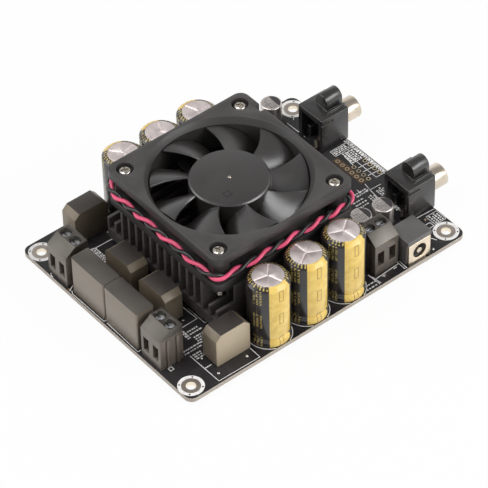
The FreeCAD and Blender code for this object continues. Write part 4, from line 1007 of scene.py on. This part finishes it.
def fan_screws():
    seat = high_corner("fan_frame").z - FAN_SCREW_SINK
    form = screw_form(shank=1.25, reach=seat - low_corner("fan_screws").z, head=2.3, rise=1.7,
                      pitch=0.9, thread=0.22)
    screws("fan_screws", form, seat, FAN_SCREW_TURNS)


def heatsink_screws():
    low, high = low_corner("heatsink_screws"), high_corner("heatsink_screws")
    form = screw_form(shank=1.5, reach=high.z, head=2.7, rise=-low.z, pitch=0.8, thread=0.15)
    form.transform(Matrix.Rotation(math.pi, 4, "X"))
    screws("heatsink_screws", form, 0.0, HEATSINK_SCREW_TURNS)


fan_screws()
heatsink_screws()


# Solder, pads and the leads that stand in them

def solder():
    """A fillet round every lead's end below the board."""
    outline = [(0, 0.0), (1.0, 0.0), (0.98, -0.08), (0.74, -0.35), (0.56, -0.75), (0.46, -1.15),
               (0.36, -1.36), (0.2, -1.47), (0, -1.5)]
    points = [(centre.x, centre.y, 0.0, 0.0) for centre, size in islands("solder_joints")]
    scattered("solder_fillets", mesh_of(lathe(outline, 20)), points, tin,
              ["solder_joints"], 50)


PLATE_THICK = 0.05
PAD_RADIUS, PAD_WIDTH = 0.68, 0.34
STRIP_WIDTH, STRIP_THICK, STRIP_END = 2.6, 0.025, 1.5
ROW_X, ROW_START, ROW_PITCH, ROW_COUNT = 50.6, -3.0, 2.55, 6
PAIR_X, PAIR_REACH, PAIR_START, PAIR_PITCH, PAIR_COUNT = 53.0, 5.1, -4.0, 2.6, 4


def plated(name, paths, width, material):
    """Plating along the same lines on both faces of the board."""
    strokes(name, paths, width, board_top, material, PLATE_THICK)
    strokes(f"{name}_below", paths, width, -PLATE_THICK, material, PLATE_THICK)


def printed(name, paths, width):
    """White print along lines on the board's top."""
    strokes(name, paths, width, board_top, print_ink)


def open_pads():
    """Plated rings round the holes that are left open."""
    row = [(ROW_X, ROW_START + number * ROW_PITCH) for number in range(ROW_COUNT)]
    pairs = [(PAIR_X + side * PAIR_REACH, PAIR_START + number * PAIR_PITCH)
             for number in range(PAIR_COUNT) for side in (0, 1)]
    rings = [ring(x, y, PAD_RADIUS, 32) for x, y in row + pairs]
    plated("open_pad_rings", rings, PAD_WIDTH, pale_plate)
    strip = [(ROW_X, row[0][1] - STRIP_END), (ROW_X, row[-1][1] + STRIP_END)]
    strokes("row_strip", [strip], STRIP_WIDTH, board_top - 0.015, brown_strip,
            STRIP_THICK)
    levels = [PAIR_START + (number + 0.5) * PAIR_PITCH for number in range(PAIR_COUNT - 1)]
    printed("pair_lines", [[(PAIR_X + 0.9, level), (PAIR_X + PAIR_REACH + 0.6, level - 0.3)]
                           for level in levels], 0.25)


MOUNT_X, MOUNT_Y, MOUNT_HOLE = 56.2, 41.05, 1.8
MOUNT_PLATE, MOUNT_PLATE_WIDTH = 2.58, 1.5
MOUNT_RING, MOUNT_RING_WIDTH = 3.96, 1.24


def mount_rings():
    """Plated ring, white ring and four dark dots round each mounting hole."""
    holes = [(x * MOUNT_X, y * MOUNT_Y) for x in (-1, 1) for y in (-1, 1)]
    plating = [ring(x, y, MOUNT_PLATE) for x, y in holes]
    plated("mount_plating", plating, MOUNT_PLATE_WIDTH, dull_tin)
    printed("mount_print", [ring(x, y, MOUNT_RING) for x, y in holes], MOUNT_RING_WIDTH)
    outer, inner = MOUNT_HOLE - 0.01, MOUNT_HOLE - 0.06
    wall = [(inner, 0.0), (inner, board_top), (outer, board_top), (outer, 0.0), (inner, 0.0)]
    points = [(x, y, 0.0, 0.0) for x, y in holes]
    scattered("mount_linings", mesh_of(lathe(wall, 64)), points, bright_lining)
    dots = [ring(x + MOUNT_RING * math.cos(a), y + MOUNT_RING * math.sin(a), 0.16, 12)
            for x, y in holes for a in (math.pi * (0.25 + 0.5 * turn) for turn in range(4))]
    strokes("mount_dots", dots, 0.32, board_top + 0.03, small_base, 0.01)


solder()
open_pads()
mount_rings()


# White print on the board

EDGE_MARGIN = 0.35


def arc_on_board(centre, radius):
    """Points round a circle, without those past the near long edge of the board."""
    reach = board_high.y - EDGE_MARGIN - abs(centre.y)
    start = math.acos(min(1.0, reach / radius))
    side = math.copysign(math.pi / 2, centre.y)
    angles = [side + start + (math.tau - 2 * start) * step / 90 for step in range(91)]
    return [(centre.x + radius * math.cos(a), centre.y + radius * math.sin(a)) for a in angles]


LINE_WIDTH, SIGN_WIDTH, ROW_WIDTH = 0.3, 0.34, 0.55
CAN_RING = 7.9
PRINT_LINES = (
    [(-48.03, -30.29), (-47.83, -45.33), (-30.59, -45.67), (-30.51, -40.34)],
    [(-48.2, -37.9), (-45.0, -37.9)],
    [(-35.8, -9.6), (-35.4, -18.3), (-42.8, -18.4)],
    [(-32.9, -21.6), (-34.67, -21.6), (-34.65, -12.5)],
    [(-33.7, -12.9), (-33.7, -20.95)],
    [(51.6, -29.63), (60.5, -30.2)],
    [(22.6, -43.0), (33.05, -42.4)],
    [(33.4, -41.5), (33.3, -45.8)], [(34.3, -41.55), (34.1, -45.85)],
    [(21.8, -39.8), (22.1, -45.7)], [(22.2, -41.4), (22.7, -45.55)],
    [(49.75, -40.0), (50.9, -42.3)],
    [(50.35, -5.2), (49.7, -8.6), (54.6, -8.8)],
    [(49.7, -8.6), (49.2, -13.5)],
    [(46.2, -5.7), (46.25, -8.35), (49.5, -7.8)],
    [(50.7, -18.1), (51.0, -23.5)],
    [(49.5, 17.0), (60.4, 17.0)],
    [(54.1, 10.2), (53.5, 4.9)],
    [(-59.8, 30.8), (-60.4, 30.0), (-60.5, 28.8)],
    [(-59.6, 19.3), (-60.3, 18.0), (-60.1, 0.84), (-58.9, 0.74)],
    [(-59.75, -0.4), (-60.1, -17.7), (-58.75, -17.6)],
    [(-42.4, 30.6), (-33.0, 30.3)],
    [(49.8, 36.7), (50.0, 26.9)],
    [(53.8, 38.1), (52.7, 36.3)],
    [(-57.6, 21.3), (-60.3, 19.7)],
)
PRINT_FRAMES = (
    (51.6, -36.4, 54.8, -34.3), (55.6, -36.3, 60.4, -31.4), (51.7, 12.1, 59.3, 15.2),
    (55.6, -5.2, 60.4, 11.2),
)
PRINT_SIGNS = (
    [(25.0, -43.5), (26.4, -43.5)], [(25.7, -44.2), (25.7, -42.8)],
    [(30.4, -43.2), (31.8, -43.2)],
)
FIRST_POLE = (-57.2, -31.55, -55.8, -30.15)


def outline_of(low_x, low_y, high_x, high_y):
    """Points once round a rectangle."""
    return [(low_x, low_y), (high_x, low_y), (high_x, high_y), (low_x, high_y), (low_x, low_y)]


def board_print():
    """Outlines round the components and the plain ticks beside them."""
    frames = [outline_of(*corners) for corners in PRINT_FRAMES]
    printed("print_lines", [*PRINT_LINES, *frames], LINE_WIDTH)
    arcs = [arc_on_board(middle(name), CAN_RING) for name in SCORE_ANGLES]
    printed("print_can_rings", arcs, LINE_WIDTH)
    printed("print_signs", [*PRINT_SIGNS, outline_of(*FIRST_POLE)], SIGN_WIDTH)


BAR_LENGTHS, BAR_GAPS = (0.5, 0.7, 1.1), (0.3, 0.45)
PLAIN_ROWS = (
    (-41.9, -23.3, -36.9, -20.5, 2), (-49.0, -29.5, -41.2, -26.9, 2),
    (16.6, -46.0, 22.0, -42.8, 2), (40.5, -14.0, 45.4, -9.5, 3),
    (-43.9, -24.0, -42.4, -19.4, 2), (-43.6, 22.6, -40.6, 31.2, 4),
    (-41.8, -28.2, -37.2, -24.0, 4), (-47.2, -33.4, -43.6, -30.2, 3),
    (58.9, -6.0, 60.5, 16.5, 3), (53.9, 5.4, 58.5, 11.6, 5), (52.2, 12.5, 58.6, 15.0, 3),
    (43.8, -9.0, 49.0, -6.6, 2), (46.6, -16.5, 49.4, -10.6, 3), (50.8, -13.6, 54.2, -9.8, 4),
    (56.0, -35.9, 60.0, -31.8, 4), (49.8, -22.4, 51.8, -18.8, 2),
)


def plain_rows():
    """Rows of short bars of uneven lengths beside the components."""
    draw = random.Random(7)
    bars = []
    for low_x, low_y, high_x, high_y, rows in PLAIN_ROWS:
        tall = high_y - low_y > high_x - low_x
        length = (high_y - low_y) if tall else (high_x - low_x)
        depth = (high_x - low_x) if tall else (high_y - low_y)
        for row in range(rows):
            offset = depth * (row + 0.5) / rows
            along = 0.0
            while along < length - 0.5:
                reach = min(draw.choice(BAR_LENGTHS), length - along)
                runs = (along, along + reach)
                if tall:
                    bars.append([(low_x + offset, low_y + run) for run in runs])
                else:
                    bars.append([(low_x + run, low_y + offset) for run in runs])
                along += reach + draw.choice(BAR_GAPS)
    printed("print_rows", bars, ROW_WIDTH)


BRIGHT_DOTS = (
    (46.96, -44.7), (-39.4, -15.8), (-45.6, -33.6), (-33.6, -42.5), (-45.7, -42.4),
    (-32.8, 34.0),
)
GOLD_DOTS = ((34.9, -21.3), (34.9, -23.6), (33.1, -24.6), (-59.8, 20.7))


def dots():
    """Small beads of solder and gold test pads on the board's top."""
    bead = lathe([(0, 0.0), (0.55, 0.0), (0.5, 0.12), (0.3, 0.3), (0, 0.36)], 20)
    points = [(x, y, board_top, 0.0) for x, y in BRIGHT_DOTS]
    scattered("solder_beads", mesh_of(bead), points, tin, sharp=60)
    pad = lathe([(0, 0.0), (0.45, 0.0), (0.42, 0.05), (0, 0.06)], 20)
    points = [(x, y, board_top, 0.0) for x, y in GOLD_DOTS]
    scattered("gold_dots", mesh_of(pad), points, gold_plate)


CHIP_END, CHIP_SLACK = 0.4, 0.04


def surface_parts():
    """Chip parts: a ceramic middle between two tinned ends."""
    points, longest = [], 0.0
    for centre, size in islands("surface_parts"):
        turned = 0.0 if size.x > size.y else math.pi / 2
        points.append((centre.x, centre.y, board_top, turned))
        longest = max(longest, size.x, size.y)
        width, height = min(size.x, size.y), size.z
    half, side, end, slack = longest / 2, width / 2, CHIP_END, CHIP_SLACK
    block = bar(bmesh.new(), (end - half, slack - side, 0.0),
                (half - end, side - slack, height - slack))
    bmesh.ops.bevel(block, geom=block.edges[:], offset=0.05, segments=1, affect="EDGES")
    scattered("chip_bodies", mesh_of(block), points, ceramic,
              ["surface_parts"])
    ends = bmesh.new()
    for sign in (-1, 1):
        near, far = sorted((sign * (half - end - 0.02), sign * half))
        bar(ends, (near, -side, 0.0), (far, side, height))
    bmesh.ops.bevel(ends, geom=ends.edges[:], offset=0.07, segments=2, affect="EDGES")
    scattered("chip_ends", mesh_of(ends), points, tin)


board_print()
plain_rows()
dots()
surface_parts()


# Fan

SQUARE_X, SQUARE_Y, SQUARE_HALF, SQUARE_LINE = -5.7, -6.0, 1.1, 0.12


def hub_marks():
    """A small nib in the middle of the hub and a square outline moulded beside it."""
    nib = moved(lathe([(0, -0.2), (0.55, -0.2), (0.55, 0.0), (0.45, 0.12), (0, 0.16)], 24),
                fan_middle.x, fan_middle.y, hub_top)
    dress("hub_nib", mesh_of(nib), nickel, "rotor")
    half, line = SQUARE_HALF, SQUARE_LINE
    x, y = fan_middle.x + SQUARE_X, fan_middle.y + SQUARE_Y
    square = outline_of(x - half, y - half, x + half, y + half)
    form = bmesh.new()
    for (x1, y1), (x2, y2) in zip(square, square[1:]):
        bar(form, (min(x1, x2) - line, min(y1, y2) - line, hub_top - 0.1),
            (max(x1, x2) + line, max(y1, y2) + line, hub_top + 0.06))
    dress("hub_square", mesh_of(form), small_base, "rotor")


softened("fan_frame", 0.3, fan_plastic)
softened("fan_rotor", 0.12, rotor_plastic, "rotor", 40)
hub_marks()


# Rigid parts whose edges are rounded, and those that keep their CAD shape

TERMINALS = "terminal_left", "terminal_front", "terminal_power"

softened("heatsink", 0.1, heatsink_finish())
for name in ("inductor_front", "inductor_rear", "inductor_middle_1", "inductor_middle_2"):
    softened(name, 0.28, inductor_block)
for name in ("film_capacitor_1", "film_capacitor_2"):
    softened(name, 0.3, film_case)
for terminal in TERMINALS:
    softened(f"{terminal}_housing", 0.16, terminal_plastic)
    for number in (1, 2):
        screw = f"{terminal}_screw_{number}"
        softened(screw, 0.1, zinc, f"{screw}_body")
for number in (1, 2):
    softened(f"socket_{number}_housing", 0.2, socket_plastic)
    softened(f"socket_{number}_shell", 0.12, nickel)
softened("jack_housing", 0.2, jack_plastic)
softened("jack_face", 0.12, cream_plate)
softened("jack_pin", 0.2, nickel)
softened("fan_header", 0.2, nylon)

kept_finishes = {
    "circuit_board": board_finish(),
    "amplifier_chip": moulded("epoxy", tone(42, 41, 43), 0.5),
    "thermal_pad": moulded("grey_silicone", tone(150, 152, 156), 0.7, grain=0.3, depth=0.02),
    "heatsink_spacers": worked_metal("turned_brass", tone(206, 172, 104), 0.3),
    "rotor_yoke": plain_steel,
    "fan_shaft": plain_steel,
    "rotor_magnet": moulded("ferrite", tone(84, 80, 80), 0.7, grain=0.2, depth=0.02),
    "fan_bearing": worked_metal("sintered_bronze", tone(176, 132, 84), 0.5),
    "fan_stator": winding_finish(),
    "fan_circuit": moulded("green_mask", tone(30, 92, 54), 0.4, grain=0.4),
    "header_pins": tin,
    "terminal_contacts": clamp_steel,
    "socket_contacts": nickel,
    **{f"{terminal}_clamp_{number}": clamp_steel for terminal in TERMINALS for number in (1, 2)},
}
for name, material in kept_finishes.items():
    mesh = frame["nodes"][name].data
    mesh.materials.clear()
    mesh.materials.append(material)


# Floor and light

WHITE, PALE_GREY = (1.0, 1.0, 1.0, 1.0), (0.85, 0.85, 0.85, 1.0)
FLOOR_LEVEL = min(low_corner("solder_joints").z, low_corner("heatsink_screws").z)
FLOOR_HALF = 3000.0
FLOOR_SHOWN = 0.95
SKY_LIGHT, SKY_CEILING = 0.33, 0.36
CEILING_START, CEILING_FULL = 0.2, 0.75
LAMPS = (
    ("overhead_lamp", (-0.42, 0.24, 1.1), 5.5, 0.6, 0.6),
    ("left_lamp", (-0.84, 0.67, 0.53), 2.4, 0.7, 0.5),
    ("front_lamp", (0.5, -0.85, 0.67), 8.0, 0.9, 0.6),
)


def seen(nodes):
    """Two values: 1 for rays from the camera or through glass, and 1 for reflections."""
    ray = "ShaderNodeLightPath"
    camera = nodes.node(ray, output="Is Camera Ray")
    through = nodes.node(ray, output="Is Transmission Ray")
    return camera.largest(through), nodes.node(ray, output="Is Glossy Ray")


def floor():
    """White table, seen as white itself and in reflections, that keeps the part's shadow."""
    form = bmesh.new()
    corners = ((-1, -1), (1, -1), (1, 1), (-1, 1))
    form.faces.new([form.verts.new((x * FLOOR_HALF, y * FLOOR_HALF, FLOOR_LEVEL))
                    for x, y in corners])
    table = to_object("table", mesh_of(form, outward=False))
    material = bpy.data.materials.new("white_table")
    nodes = Nodes(emptied(material))
    matte = nodes.node("ShaderNodeBsdfDiffuse", {}, {"Color": PALE_GREY})
    shown = nodes.node("ShaderNodeEmission", {}, {"Color": WHITE})
    direct, mirrored = seen(nodes)
    share = direct.largest(mirrored) * FLOOR_SHOWN
    mixed = nodes.node("ShaderNodeMixShader", {}, {0: share, 1: matte, 2: shown})
    nodes.made("ShaderNodeOutputMaterial", {}, {0: mixed})
    table.data.materials.append(material)


def world():
    """White surroundings whose light on matte surfaces is at a plain level. Reflections see
    the same white round the horizon and a dimmer ceiling overhead."""
    surroundings = bpy.data.worlds.new("surroundings")
    bpy.context.scene.world = surroundings
    nodes = Nodes(emptied(surroundings))
    direct, mirrored = seen(nodes)
    x, y, z = nodes.split(nodes.node("ShaderNodeTexCoord", output="Object"))
    overhead = z.rise(CEILING_START, CEILING_FULL)
    reflected = 1.0 - (1.0 - SKY_CEILING) * overhead
    strength = SKY_LIGHT + (1.0 - SKY_LIGHT) * direct + (reflected - SKY_LIGHT) * mirrored
    sky = nodes.node("ShaderNodeBackground", {}, {"Color": WHITE, "Strength": strength})
    nodes.made("ShaderNodeOutputWorld", {}, {0: sky})


def lamp(name, place, power, width, height):
    """Soft rectangular lamp that faces the board."""
    light = bpy.data.lights.new(name, "AREA")
    light.shape = "RECTANGLE"
    light.size, light.size_y = width, height
    light.energy = power
    item = to_object(name, light)
    item.location = place
    item.rotation_euler = (-Vector(place)).to_track_quat("-Z", "Y").to_euler()


floor()
world()
for settings in LAMPS:
    lamp(*settings)

bpy.context.scene.view_settings.view_transform = "Standard"
